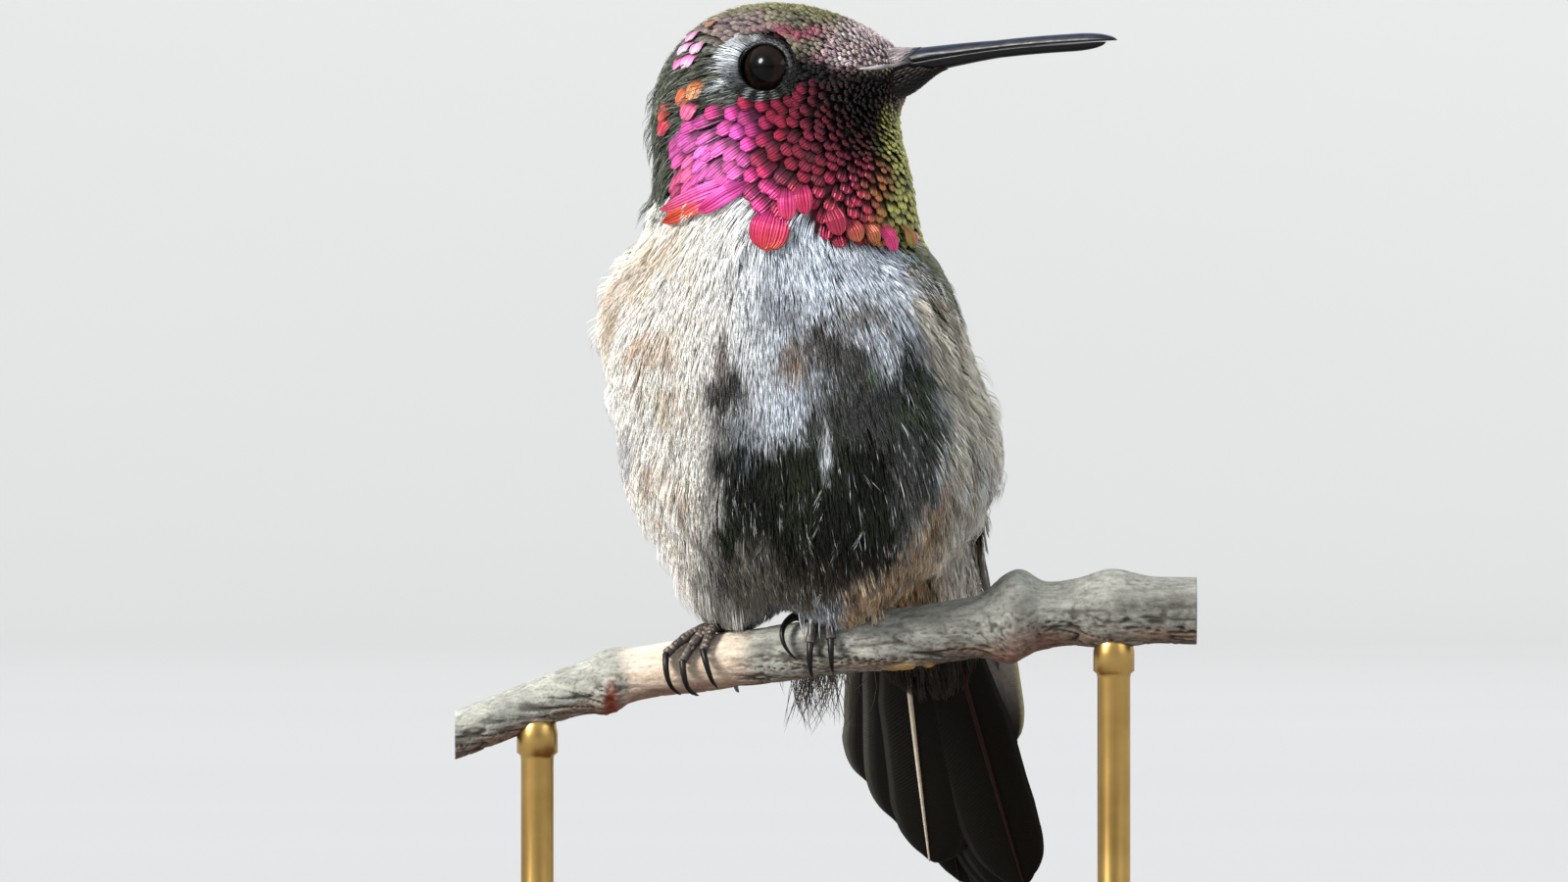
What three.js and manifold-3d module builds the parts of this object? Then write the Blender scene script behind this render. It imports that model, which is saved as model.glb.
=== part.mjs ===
// Anna's hummingbird (Calypte anna), adult male, life size, perched on a cut twig that two rods hold
// over a plain flat base. The body faces the front (-Y), turned a little to its right, and the head
// is turned far to its left, so that the bill points to +X.
//
// Millimetres, +Z up. The origin is the centre of the base's underside.
//
// The plumage is one smooth body, a blend of ellipsoids and of one tapered column, that thin cuts
// part into head, neck and trunk. Sockets in it leave room for the bill, eyes, legs, wings and tail.

import * as THREE from "three";
import { mergeVertices } from "three/addons/utils/BufferGeometryUtils.js";
import Module from "manifold-3d";

const wasm = await Module();
wasm.setup();

// ---- Driving dimensions -----------------------------------------------------------------------

const GAP = 0.3; // between neighbouring solids
const DEG = Math.PI / 180;

const BASE_LENGTH = 66; // the stand's base, along X
const BASE_DEPTH = 54; // and along Y
const BASE_HEIGHT = 6;
const BASE_CORNER = 9; // corner radius in plan
const BASE_BEVEL = 1.2;
const BASE_BACK = 4; // the base reaches this much further behind the perch than in front of it
const ROD_RADIUS = 1.2;
const ROD_SEAT = 3; // how deep each rod stands in the base
const ROD_ENTRY = 1.0; // how far each rod goes into the perch
const ROD_FROM_MIDDLE = 21; // along X, from the base's centre

const PERCH_HEIGHT = 34; // the top of the perch where the bird stands, over the table
const PERCH_HALF_LENGTH = 27;
const PERCH_RADIUS = 2.1;

const TRUNK_YAW = 24 * DEG; // the breast faces this far to the bird's right of -Y
const HEAD_YAW = 64 * DEG; // the bill points this far to the bird's left of -Y
const BILL_PITCH = 6.2 * DEG; // and rises this much

const BILL_LENGTH = 16.6; // from the feather edge to the tip
const EYE_RADIUS = 2.25;
const TAIL_LENGTH = 31;

const BODY_CELL = 2.3; // grid step of the plumage surface
const BLEND = 3; // how softly its masses run together

// ---- Placing ----------------------------------------------------------------------------------
// Three frames share the axes of the part. The twig frame has its origin over the base, on the
// level of the perch's top. The trunk frame is (forward, left, up) from between the feet, and the
// head frame is (forward, left, up) from the middle of the skull.

const STAND_SHIFT = -3; // the twig frame's origin, along X, from the base's centre
const v = (x, y, z) => new THREE.Vector3(x, y, z);

const frameOf = (origin, yaw) => {
  const forward = v(Math.sin(yaw), -Math.cos(yaw), 0);
  const left = v(Math.cos(yaw), Math.sin(yaw), 0);
  const up = v(0, 0, 1);
  return {
    forward,
    left,
    up,
    origin,
    at: (f, l, u) =>
      origin.clone().addScaledVector(forward, f).addScaledVector(left, l).addScaledVector(up, u),
  };
};

const trunkFrame = frameOf(v(1.75, 0, 0), -TRUNK_YAW);
const headFrame = frameOf(v(-1.2, -4.5, 38.1), HEAD_YAW);

// ---- Distance fields --------------------------------------------------------------------------

// An ellipsoid whose long axis rises forwards by pitch. Its sizes are half axes.
const ellipsoid = (frame, centre, long, side, deep, pitch = 0) => {
  const middle = frame.at(...centre);
  const along = frame.forward.clone().multiplyScalar(Math.cos(pitch)).addScaledVector(frame.up, Math.sin(pitch));
  const across = frame.left;
  const belly = new THREE.Vector3().crossVectors(along, across);
  const p = new THREE.Vector3();
  return (x, y, z) => {
    p.set(x, y, z).sub(middle);
    const a = p.dot(along);
    const b = p.dot(across);
    const c = p.dot(belly);
    const near = Math.hypot(a / long, b / side, c / deep);
    const slope = Math.hypot(a / long ** 2, b / side ** 2, c / deep ** 2);
    return slope < 1e-9 ? -Math.min(long, side, deep) : (near * (near - 1)) / slope;
  };
};

// A round column between two points, with a radius at each.
const column = (from, to, radiusFrom, radiusTo) => {
  const axis = to.clone().sub(from);
  const length2 = axis.lengthSq();
  const p = new THREE.Vector3();
  return (x, y, z) => {
    p.set(x, y, z).sub(from);
    const t = THREE.MathUtils.clamp(p.dot(axis) / length2, 0, 1);
    return p.addScaledVector(axis, -t).length() - THREE.MathUtils.lerp(radiusFrom, radiusTo, t);
  };
};

const blended = (fields, softness) => (x, y, z) =>
  fields.reduce((sum, field) => {
    const d = field(x, y, z);
    const h = Math.max(softness - Math.abs(sum - d), 0) / softness;
    return Math.min(sum, d) - (h * h * softness) / 4;
  }, 1e3);

const plumageMasses = {
  breast: ellipsoid(trunkFrame, [3.4, -0.7, 20.8], 10.6, 13.5, 10.4, 72 * DEG),
  belly: ellipsoid(trunkFrame, [0.8, 0.4, 12.6], 11.4, 14.3, 10.6, 60 * DEG),
  back: ellipsoid(trunkFrame, [-4.2, 0.3, 17.5], 12, 9.8, 7.5, 58 * DEG),
  rump: ellipsoid(trunkFrame, [-8.2, 1.4, 7.4], 9.2, 8.2, 7, 50 * DEG),
  coverts: ellipsoid(trunkFrame, [-13.4, 2.6, 1.6], 8.4, 5.2, 3.3, 54 * DEG),
  thighRight: ellipsoid(trunkFrame, [0.9, -5.7, 4.9], 5.4, 3.5, 4.4, 84 * DEG),
  thighLeft: ellipsoid(trunkFrame, [0.9, 3.2, 5], 5, 3.6, 4.3, 88 * DEG),
  neck: column(trunkFrame.at(3.9, -0.6, 26.6), trunkFrame.at(4.3, -1.1, 34.5), 9.6, 8.3),
  skull: ellipsoid(headFrame, [-0.1, 0, 0.4], 7.7, 7.1, 6.8),
  face: ellipsoid(headFrame, [5, 0, 2.2], 6.2, 4.5, 3.7, -6 * DEG),
  gorget: ellipsoid(headFrame, [2.4, 0, -6.6], 8.2, 7.8, 7.6, 0),
};
const plumage = blended(Object.values(plumageMasses), BLEND);

const slopeOf = (field, p, step = 0.05) =>
  v(
    field(p.x + step, p.y, p.z) - field(p.x - step, p.y, p.z),
    field(p.x, p.y + step, p.z) - field(p.x, p.y - step, p.z),
    field(p.x, p.y, p.z + step) - field(p.x, p.y, p.z - step),
  ).normalize();

// Moves a point along the field's slope until it is that far outside the surface.
const settle = (field, p, outside = 0, rounds = 4) => {
  for (let i = 0; i < rounds; i++) {
    p.addScaledVector(slopeOf(field, p), outside - field(p.x, p.y, p.z));
  }
  return p;
};

// ---- Making solids ----------------------------------------------------------------------------

// The closed surface where a field is zero, on a grid: one vertex in each cell that the surface
// passes, and one four-sided face round each grid edge that it crosses.
function surfaceOf(field, low, high, cell) {
  const size = ["x", "y", "z"].map((axis) => Math.ceil((high[axis] - low[axis]) / cell) + 1);
  const stride = [1, size[0], size[0] * size[1]];
  const value = new Float32Array(size[0] * size[1] * size[2]);
  const place = (i, j, k) => i + j * stride[1] + k * stride[2];
  for (let k = 0; k < size[2]; k++)
    for (let j = 0; j < size[1]; j++)
      for (let i = 0; i < size[0]; i++)
        value[place(i, j, k)] = field(low.x + i * cell, low.y + j * cell, low.z + k * cell);

  const positions = [];
  const vertexOf = new Map();
  const corners = [0, 1, 2, 3, 4, 5, 6, 7].map((n) => [n & 1, (n >> 1) & 1, n >> 2]);
  for (let k = 0; k < size[2] - 1; k++)
    for (let j = 0; j < size[1] - 1; j++)
      for (let i = 0; i < size[0] - 1; i++) {
        const sum = v(0, 0, 0);
        let crossings = 0;
        corners.forEach((a, m) =>
          corners.slice(m + 1).forEach((b) => {
            if (Math.abs(a[0] - b[0]) + Math.abs(a[1] - b[1]) + Math.abs(a[2] - b[2]) !== 1) return;
            const va = value[place(i + a[0], j + a[1], k + a[2])];
            const vb = value[place(i + b[0], j + b[1], k + b[2])];
            if (va < 0 === vb < 0) return;
            sum.add(v(...a).lerp(v(...b), va / (va - vb)));
            crossings++;
          }),
        );
        if (!crossings) continue;
        const p = sum.divideScalar(crossings).add(v(i, j, k)).multiplyScalar(cell).add(low);
        vertexOf.set(place(i, j, k), positions.length / 3);
        positions.push(...settle(field, p, 0, 2).toArray());
      }

  const index = [];
  for (let k = 1; k < size[2] - 1; k++)
    for (let j = 1; j < size[1] - 1; j++)
      for (let i = 1; i < size[0] - 1; i++)
        for (let axis = 0; axis < 3; axis++) {
          const here = place(i, j, k);
          const inside = value[here] < 0;
          if (inside === value[here + stride[axis]] < 0) continue;
          const [s, t] = [stride[(axis + 1) % 3], stride[(axis + 2) % 3]];
          const [a, b, c, d] = [here - s - t, here - t, here, here - s].map((n) => vertexOf.get(n));
          index.push(...(inside ? [a, b, c, a, c, d] : [a, c, b, a, d, c]));
        }
  return new THREE.BufferGeometry()
    .setAttribute("position", new THREE.Float32BufferAttribute(positions, 3))
    .setIndex(index);
}

// A closed body through rings of points. Every ring runs the same way round and holds as many points.
function loft(rings) {
  const count = rings[0].length;
  const middle = (ring) => ring.reduce((sum, p) => sum.add(p), v(0, 0, 0)).divideScalar(count);
  const points = [...rings.flat(), middle(rings[0]), middle(rings.at(-1))];
  const index = [];
  rings.slice(1).forEach((_, r) => {
    for (let i = 0; i < count; i++) {
      const [a, b] = [r * count + i, r * count + ((i + 1) % count)];
      index.push(a, b, b + count, a, b + count, a + count);
    }
  });
  const last = (rings.length - 1) * count;
  for (let i = 0; i < count; i++) {
    const next = (i + 1) % count;
    index.push(rings.length * count, next, i);
    index.push(rings.length * count + 1, last + i, last + next);
  }
  return new THREE.BufferGeometry().setFromPoints(points).setIndex(index);
}

// A ring round a point: half widths along two directions.
const ringAt = (centre, across, over, halfWidth, halfHeight, sides) =>
  Array.from({ length: sides }, (_, i) => {
    const turn = ((i + 0.5) / sides) * 2 * Math.PI;
    return centre
      .clone()
      .addScaledVector(across, Math.cos(turn) * halfWidth)
      .addScaledVector(over, Math.sin(turn) * halfHeight);
  });

// A round bar along a curve, with the radius a function of how far along it is.
function taperedBar(curve, radiusAt, steps, sides) {
  const frames = curve.computeFrenetFrames(steps, false);
  return loft(
    Array.from({ length: steps + 1 }, (_, i) => {
      const radius = radiusAt(i / steps);
      return ringAt(curve.getPointAt(i / steps), frames.normals[i], frames.binormals[i], radius, radius, sides);
    }),
  );
}

function solidOf(geometry) {
  const bare = geometry.clone();
  bare.deleteAttribute("normal");
  bare.deleteAttribute("uv");
  const merged = mergeVertices(bare, 1e-4);
  const made = new wasm.Manifold(
    new wasm.Mesh({
      numProp: 3,
      vertProperties: new Float32Array(merged.attributes.position.array),
      triVerts: new Uint32Array(merged.index.array),
    }),
  );
  if (made.volume() > 0) return made;
  const turned = merged.index.array.slice();
  for (let i = 0; i < turned.length; i += 3) [turned[i + 1], turned[i + 2]] = [turned[i + 2], turned[i + 1]];
  return new wasm.Manifold(
    new wasm.Mesh({
      numProp: 3,
      vertProperties: new Float32Array(merged.attributes.position.array),
      triVerts: new Uint32Array(turned),
    }),
  );
}

const largest = (solid) => solid.decompose().sort((a, b) => b.volume() - a.volume())[0];

function meshOf(name, solid, material) {
  const { numProp, vertProperties, triVerts } = largest(solid).getMesh();
  const positions = [];
  for (let i = 0; i < vertProperties.length; i += numProp) {
    positions.push(vertProperties[i], vertProperties[i + 1], vertProperties[i + 2]);
  }
  const geometry = new THREE.BufferGeometry()
    .setAttribute("position", new THREE.Float32BufferAttribute(positions, 3))
    .setIndex(new THREE.BufferAttribute(triVerts, 1));
  geometry.computeVertexNormals();
  const mesh = new THREE.Mesh(geometry, material);
  mesh.name = name;
  return mesh;
}

// A thin flat blade to cut with: square to a direction, at a point.
function cutAt(point, direction, size = 80, thickness = GAP) {
  const blade = new THREE.BoxGeometry(size, size, thickness);
  blade.applyQuaternion(new THREE.Quaternion().setFromUnitVectors(v(0, 0, 1), direction.clone().normalize()));
  blade.translate(point.x, point.y, point.z);
  return solidOf(blade);
}

// ---- Materials --------------------------------------------------------------------------------

const finish = (color, roughness, metalness = 0) => new THREE.MeshStandardMaterial({ color, roughness, metalness });
const materials = {
  crown: finish(0x6b6552, 0.7),
  gorget: finish(0xc2265e, 0.35, 0.4),
  breast: finish(0xcfcac0, 0.9),
  wing: finish(0x4a423b, 0.6),
  tail: finish(0x1d1b1c, 0.5),
  bill: finish(0x15151a, 0.35),
  eye: finish(0x0b0908, 0.08),
  foot: finish(0x2b2526, 0.55),
  claw: finish(0x111012, 0.35),
  bark: finish(0x8d857a, 0.9),
  base: finish(0x2f2520, 0.5),
  rod: finish(0xa98d54, 0.35, 0.9),
};

// ---- The perch: a grey twig that dips to the left, with two knots --------------------------------

const perchLine = new THREE.CatmullRomCurve3([
  v(-24, 2.6, -7.9),
  v(-13.2, 1.9, -4.0),
  v(-0.7, 0.2, -1.95),
  v(12, -1.9, -0.3),
  v(22, -3.4, 1.2),
  v(30, -4.6, 1.2),
]);
const KNOTS = [
  { at: -12.8, swell: 0.4, width: 1.3 },
  { at: 16.9, swell: 0.85, width: 1.7 },
  { at: 23.8, swell: 0.35, width: 2.2 },
];
const perchRadius = (x) =>
  KNOTS.reduce(
    (sum, { at, swell, width }) => sum + swell * Math.exp(-(((x - at) / width) ** 2)),
    PERCH_RADIUS + 0.012 * x,
  );
const perchSamples = perchLine.getSpacedPoints(400);
const perchCentre = (x) =>
  perchSamples.reduce((best, p) => (Math.abs(p.x - x) < Math.abs(best.x - x) ? p : best)).clone();

function perchSolid(extra = 0) {
  const steps = 26;
  const rings = Array.from({ length: steps + 1 }, (_, i) => {
    const x = STAND_SHIFT * -1 - PERCH_HALF_LENGTH + (2 * PERCH_HALF_LENGTH * i) / steps;
    const radius = perchRadius(x) + extra;
    return ringAt(perchCentre(x), v(0, 1, 0), v(0, 0, 1), radius, radius, 12);
  });
  return solidOf(loft(rings));
}

// ---- Bill: two mandibles on one gently rising line ----------------------------------------------

const billBase = headFrame.at(11.6, 0, 2.62);
const billWay = headFrame.forward
  .clone()
  .multiplyScalar(Math.cos(BILL_PITCH))
  .addScaledVector(headFrame.up, Math.sin(BILL_PITCH));
const billUp = new THREE.Vector3().crossVectors(billWay, headFrame.left);
const BILL_ROOT = 3.5; // the part of the bill that the feathers hide
const BILL_DEPTH = { root: 1.3, tip: 0.62 }; // half the bill's depth
const BILL_ARCH = 0.45; // the bill bows upwards by this much

const billHalf = (t) =>
  THREE.MathUtils.lerp(BILL_DEPTH.root, BILL_DEPTH.tip, THREE.MathUtils.clamp(t * 1.9, 0, 1) ** 0.7);
const billCentre = (t) =>
  billBase
    .clone()
    .addScaledVector(billWay, -BILL_ROOT + t * (BILL_LENGTH + BILL_ROOT))
    .addScaledVector(billUp, BILL_ARCH * Math.sin(Math.PI * Math.max(0, t)));

// Upper or lower half of the bill: a half round section with its flat side on the gape line.
function mandible(side, reach, extra = 0) {
  const steps = 10;
  const sides = 6;
  const start = -extra / (BILL_LENGTH + BILL_ROOT);
  const rings = Array.from({ length: steps + 1 }, (_, i) => {
    const t = THREE.MathUtils.lerp(start, reach, i / steps);
    const taper = i === steps ? 0.45 : 1;
    const depth = (billHalf(t) * (side > 0 ? 1 : 0.88) - GAP / 2) * taper + 2 * extra;
    const width = billHalf(t) * 0.92 * taper + extra;
    const centre = billCentre(t).addScaledVector(billUp, (side * GAP) / 2 - side * extra);
    return Array.from({ length: sides + 1 }, (_, k) => {
      const turn = (Math.PI * k) / sides;
      return centre
        .clone()
        .addScaledVector(headFrame.left, Math.cos(turn) * width)
        .addScaledVector(billUp, side * Math.sin(turn) * depth);
    });
  });
  return solidOf(loft(rings));
}

// ---- Eyes ---------------------------------------------------------------------------------------

const EYE_PLACE = { forward: 2.7, out: 4.45, up: 2.5 }; // in the head frame, on each side
function eyeball(side, extra = 0) {
  const ball = new THREE.IcosahedronGeometry(EYE_RADIUS + extra, 3);
  const p = headFrame.at(EYE_PLACE.forward, side * EYE_PLACE.out, EYE_PLACE.up);
  ball.translate(p.x, p.y, p.z);
  return solidOf(ball);
}

// ---- Legs: a short shank, three toes over the front of the twig and one behind ------------------

const TOE_RADIUS = 0.52;
const CLAW_RADIUS = 0.3;
const TOE_CLEARANCE = GAP + 0.06;
const JOINT_TURN = 8 * DEG; // the gap between a toe and its claw, round the twig

// Where each foot stands, and for each toe how far along the twig it swings, where round the twig,
// from the front (0) over the top (90) to the back (180), the toe and its claw end, and how far
// along the twig the claw's tip is and its middle bows out.
const FEET = {
  right: {
    at: -4.7,
    ankle: [0.9, 2.0, 4.2],
    toes: {
      outer: { swing: -3.9, end: 26, clawEnd: -54, tip: -2.8, bow: 0.4 },
      middle: { swing: -2.7, end: 10, clawEnd: -64, tip: -1.5, bow: 0.3 },
      inner: { swing: -1.2, end: 22, clawEnd: -50, tip: -0.1, bow: 0.1 },
      hind: { swing: 0.9, end: 184, clawEnd: 250, tip: 1.4, bow: 0 },
    },
  },
  left: {
    at: 2.8,
    ankle: [0.2, 1.8, 4.0],
    toes: {
      inner: { swing: -1.9, end: 70, clawEnd: -16, tip: -1.8, bow: 1.1 },
      middle: { swing: -0.9, end: 10, clawEnd: -58, tip: -0.6, bow: 0.15 },
      outer: { swing: 0.6, end: 12, clawEnd: -52, tip: 0.8, bow: 0.05 },
      hind: { swing: 0.2, end: 184, clawEnd: 244, tip: 0.6, bow: 0 },
    },
  },
};
const TOP_OF_TWIG = 96; // degrees: where the toes meet

// A curve round the twig, hugging it at a distance from its bark.
function roundTwig(at, [swingFrom, swingTo], [from, to], distance, bow = 0) {
  const steps = 8;
  return new THREE.CatmullRomCurve3(
    Array.from({ length: steps + 1 }, (_, i) => {
      const t = i / steps;
      const turn = THREE.MathUtils.lerp(from, to, t) * DEG;
      const x = at + THREE.MathUtils.lerp(swingFrom, swingTo, t) - bow * Math.sin(Math.PI * t);
      const reach = perchRadius(x) + distance(t);
      return perchCentre(x).add(v(0, -Math.cos(turn) * reach, Math.sin(turn) * reach));
    }),
  );
}

function toe(foot, { swing, end }, extra = 0) {
  const start = end > TOP_OF_TWIG ? TOP_OF_TWIG - 12 : TOP_OF_TWIG + 6;
  const line = roundTwig(foot.at, [0, swing], [start, end], () => TOE_CLEARANCE + TOE_RADIUS);
  return solidOf(taperedBar(line, (t) => TOE_RADIUS * (1.12 - 0.17 * t) + extra, 6, 7));
}

function claw(foot, { swing, end, clawEnd, tip, bow }) {
  const start = end + Math.sign(clawEnd - end) * (JOINT_TURN / DEG);
  const arch = (t) => TOE_CLEARANCE + CLAW_RADIUS + 0.45 * Math.sin(Math.PI * Math.min(1, t * 1.2) * 0.8);
  const line = roundTwig(foot.at, [swing, tip], [start, clawEnd], arch, bow);
  return solidOf(taperedBar(line, (t) => CLAW_RADIUS * (1.15 - 0.42 * t), 6, 6));
}

const palmOf = (foot) =>
  perchCentre(foot.at).add(v(0, 0.25, perchRadius(foot.at) + TOE_CLEARANCE + TOE_RADIUS * 1.2));

function footSolid(foot, extra = 0) {
  const palm = new THREE.IcosahedronGeometry(TOE_RADIUS * 1.55 + extra, 2);
  const p = palmOf(foot);
  palm.translate(p.x, p.y, p.z);
  return Object.values(foot.toes).reduce((sum, one) => sum.add(toe(foot, one, extra)), solidOf(palm));
}

function shank(foot, extra = 0) {
  const low = palmOf(foot).add(v(0, 0.1, TOE_RADIUS * 1.55 + GAP));
  const high = palmOf(foot).add(v(...foot.ankle));
  const line = new THREE.LineCurve3(low.addScaledVector(v(0, 0, 1), -extra), high.addScaledVector(v(0, 0, 1), extra));
  return solidOf(taperedBar(line, () => 0.55 + extra, 3, 8));
}

// ---- Wings: folded blades from the wrist beside the breast to the tips over the tail ------------

// Lower and upper edge in the trunk frame, (forward, left, up), for the left wing.
const WING_LOWER = [
  [6.8, 10.9, 26],
  [1.8, 13.2, 18.8],
  [-4.3, 13.2, 11.4],
  [-10.3, 9.7, 4.6],
  [-16, 7.9, -0.6],
  [-21.2, 6.7, -5.2],
  [-25.2, 5.9, -8.9],
];
const WING_UPPER = [
  [4.4, 9.6, 27.8],
  [-2.4, 9.8, 24.4],
  [-9.8, 8.4, 18],
  [-15.2, 6.4, 10.2],
  [-18.4, 5.8, 3.6],
  [-22.2, 5.9, -2.4],
  [-25.4, 5.8, -8.3],
];
const RIGHT_WING_TUCK = 0.14; // behind the thigh the right wing closes in by this share of the way back
const WING_THICKNESS = 1.3;
const WING_CROWN = 0.06; // how much the blade bulges, as a share of its breadth
const WING_FREE = 0.62; // share of its length where the blade leaves the body

function wing(side, extra = 0) {
  const tuck = (f) => (side > 0 ? 0 : RIGHT_WING_TUCK * Math.max(0, -6 - f));
  const edge = (points) =>
    new THREE.CatmullRomCurve3(points.map(([f, l, u]) => trunkFrame.at(f, side * l + tuck(f), u)));
  const [lower, upper] = [edge(WING_LOWER), edge(WING_UPPER)];
  const steps = 13;
  const across = 4;
  const rings = Array.from({ length: steps + 1 }, (_, i) => {
    const t = i / steps;
    const [low, high] = [lower.getPoint(t), upper.getPoint(t)];
    const width = high.clone().sub(low);
    const out = new THREE.Vector3().crossVectors(lower.getTangent(t), width).multiplyScalar(side).normalize();
    const thick = WING_THICKNESS * (1 - 0.45 * t) * (t === 1 ? 0.6 : 1);
    const overhang = extra / Math.max(width.length(), 0.5);
    const at = (share, level) => {
      const p = low.clone().addScaledVector(width, THREE.MathUtils.lerp(-overhang, 1 + overhang, share));
      p.addScaledVector(out, WING_CROWN * width.length() * Math.sin(Math.PI * share));
      if (t < WING_FREE) {
        const held = 1 - (t / WING_FREE) ** 3;
        const settled = settle(plumage, p.clone(), -0.25);
        p.lerp(settled, held);
      }
      const hem = 1 - 0.5 * Math.abs(2 * share - 1) ** 3;
      return p.addScaledVector(out, level * (thick * hem + 2 * extra) * 0.5);
    };
    const outer = Array.from({ length: across + 1 }, (_, k) => at(k / across, 1));
    const inner = Array.from({ length: across + 1 }, (_, k) => at(1 - k / across, -1));
    return [...outer, ...inner];
  });
  if (extra) {
    const stretch = (ring, from) => ring.map((p, k) => p.clone().addScaledVector(p.clone().sub(from[k]).normalize(), extra));
    rings.unshift(stretch(rings[0], rings[1]));
    rings.push(stretch(rings.at(-1), rings.at(-2)));
  }
  return solidOf(loft(rings));
}

// ---- Tail: five feathers each side, stacked with the middle pair on top -------------------------

const TAIL_PITCH = 54 * DEG;
const TAIL_SWING = 4.3 * DEG; // the tail is carried this far from the trunk's own line
const tailRoot = trunkFrame.at(-11.6, 3.4, 5.0);
const tailWay = trunkFrame.forward
  .clone()
  .applyAxisAngle(v(0, 0, 1), TAIL_SWING)
  .multiplyScalar(-Math.cos(TAIL_PITCH))
  .addScaledVector(v(0, 0, 1), -Math.sin(TAIL_PITCH));
const tailLeft = trunkFrame.left.clone().applyAxisAngle(v(0, 0, 1), TAIL_SWING);
const tailUp = new THREE.Vector3().crossVectors(tailLeft, tailWay);

const RECTRIX_WIDTH = 6.6;
const RECTRIX_THICKNESS = 0.6;
const RECTRIX_STEP = 0.3; // each feather lies this much below the next inner one
const RECTRIX_SPREAD = 0.42; // sideways, between neighbours' roots
// From the middle feather outwards: the share of the tail's length, and how far each one is fanned.
// The outer right ones are still growing, and stand apart.
const RECTRICES = {
  left: { reach: [0.98, 0.985, 0.985, 0.965, 0.93], fan: [0, 0.2, 0.4, 0.6, 1] },
  right: { reach: [0.98, 0.94, 0.82, 0.72, 0.63], fan: [1.2, 3.6, 6, 10, 14] },
};

function rectrix(side, rank, reach, fan) {
  const turn = -side * fan * DEG;
  const way = tailWay.clone().applyAxisAngle(tailUp, turn);
  const across = tailLeft.clone().applyAxisAngle(tailUp, turn);
  const root = tailRoot
    .clone()
    .addScaledVector(tailLeft, side * (rank + 0.5) * RECTRIX_SPREAD)
    .addScaledVector(tailUp, -rank * RECTRIX_STEP);
  const length = TAIL_LENGTH * reach;
  const steps = 6;
  const rings = Array.from({ length: steps + 1 }, (_, i) => {
    const t = (i / steps) ** 0.7;
    const tip = Math.sqrt(Math.max(0.03, 1 - Math.max(0, (t - 0.76) / 0.24) ** 2));
    const half = (RECTRIX_WIDTH / 2) * Math.min(1, 0.4 + 1.3 * t) * tip;
    const centre = root.clone().addScaledVector(way, t * length);
    return ringAt(centre, across, tailUp, half, RECTRIX_THICKNESS / 2 / Math.cos(Math.PI / 6), 6);
  });
  return solidOf(loft(rings));
}

function tailSolid() {
  const sides = [[1, RECTRICES.left], [-1, RECTRICES.right]];
  return sides
    .flatMap(([side, { reach, fan }]) => reach.map((share, rank) => rectrix(side, rank, share, fan[rank])))
    .reduce((sum, feather) => sum.add(feather));
}

// The room that the tail's root takes in the trunk: a flat wedge round all the feathers, wider on
// the right, where they fan out.
function tailSocket() {
  const square = Math.SQRT2; // a four-sided ring's corners lie this much further out than its sides
  const place = [
    { along: -1.2, left: 3.9, right: 3.9 },
    { along: 18, left: 6.4, right: 10.2 },
  ];
  const rings = place.map(({ along, left, right }) => {
    const centre = tailRoot
      .clone()
      .addScaledVector(tailWay, along)
      .addScaledVector(tailLeft, (left - right) / 2)
      .addScaledVector(tailUp, -2 * RECTRIX_STEP);
    return ringAt(centre, tailLeft, tailUp, ((left + right) / 2) * square, 1.45 * square, 4);
  });
  return solidOf(loft(rings));
}

// ---- Stand --------------------------------------------------------------------------------------

const rodX = (side) => side * ROD_FROM_MIDDLE - STAND_SHIFT;
const baseMiddle = v(-STAND_SHIFT, BASE_BACK, -PERCH_HEIGHT);

function baseSolid() {
  const [halfLength, halfDepth] = [BASE_LENGTH / 2 - BASE_BEVEL, BASE_DEPTH / 2 - BASE_BEVEL];
  const corner = BASE_CORNER - BASE_BEVEL;
  const plan = new THREE.Shape();
  plan.moveTo(halfLength, -halfDepth + corner);
  plan.absarc(halfLength - corner, halfDepth - corner, corner, 0, Math.PI / 2);
  plan.absarc(-halfLength + corner, halfDepth - corner, corner, Math.PI / 2, Math.PI);
  plan.absarc(-halfLength + corner, -halfDepth + corner, corner, Math.PI, 1.5 * Math.PI);
  plan.absarc(halfLength - corner, -halfDepth + corner, corner, 1.5 * Math.PI, 2 * Math.PI);
  const block = new THREE.ExtrudeGeometry(plan, {
    depth: BASE_HEIGHT - 2 * BASE_BEVEL,
    bevelThickness: BASE_BEVEL,
    bevelSize: BASE_BEVEL,
    bevelSegments: 2,
    curveSegments: 4,
  });
  block.translate(baseMiddle.x, baseMiddle.y, baseMiddle.z + BASE_BEVEL);
  return solidOf(block);
}

function rod(side, extra = 0) {
  const centre = perchCentre(rodX(side));
  const top = centre.z - perchRadius(rodX(side)) + ROD_ENTRY + extra;
  const foot = -PERCH_HEIGHT + BASE_HEIGHT - ROD_SEAT - extra;
  const bar = new THREE.CylinderGeometry(ROD_RADIUS + extra, ROD_RADIUS + extra, top - foot, 16);
  bar.rotateX(Math.PI / 2);
  bar.translate(centre.x, centre.y, (top + foot) / 2);
  return solidOf(bar);
}

// ---- Putting it together ------------------------------------------------------------------------

const perch = perchSolid();
const legs = Object.entries(FEET);
const eyes = { left: eyeball(1), right: eyeball(-1) };
const wings = { left: wing(1), right: wing(-1) };
const tail = tailSolid();

let coat = solidOf(surfaceOf(plumage, v(-18, -24, -10), v(20, 30, 50), BODY_CELL));
const sockets = [
  perchSolid(GAP),
  mandible(1, 1, GAP),
  mandible(-1, 0.94, GAP),
  eyeball(1, GAP),
  eyeball(-1, GAP),
  wing(1, GAP),
  wing(-1, GAP),
  tailSocket(),
  ...legs.map(([, foot]) => shank(foot, GAP)),
  ...legs.map(([, foot]) => footSolid(foot, GAP)),
];
for (const socket of sockets) coat = coat.subtract(socket);

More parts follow.
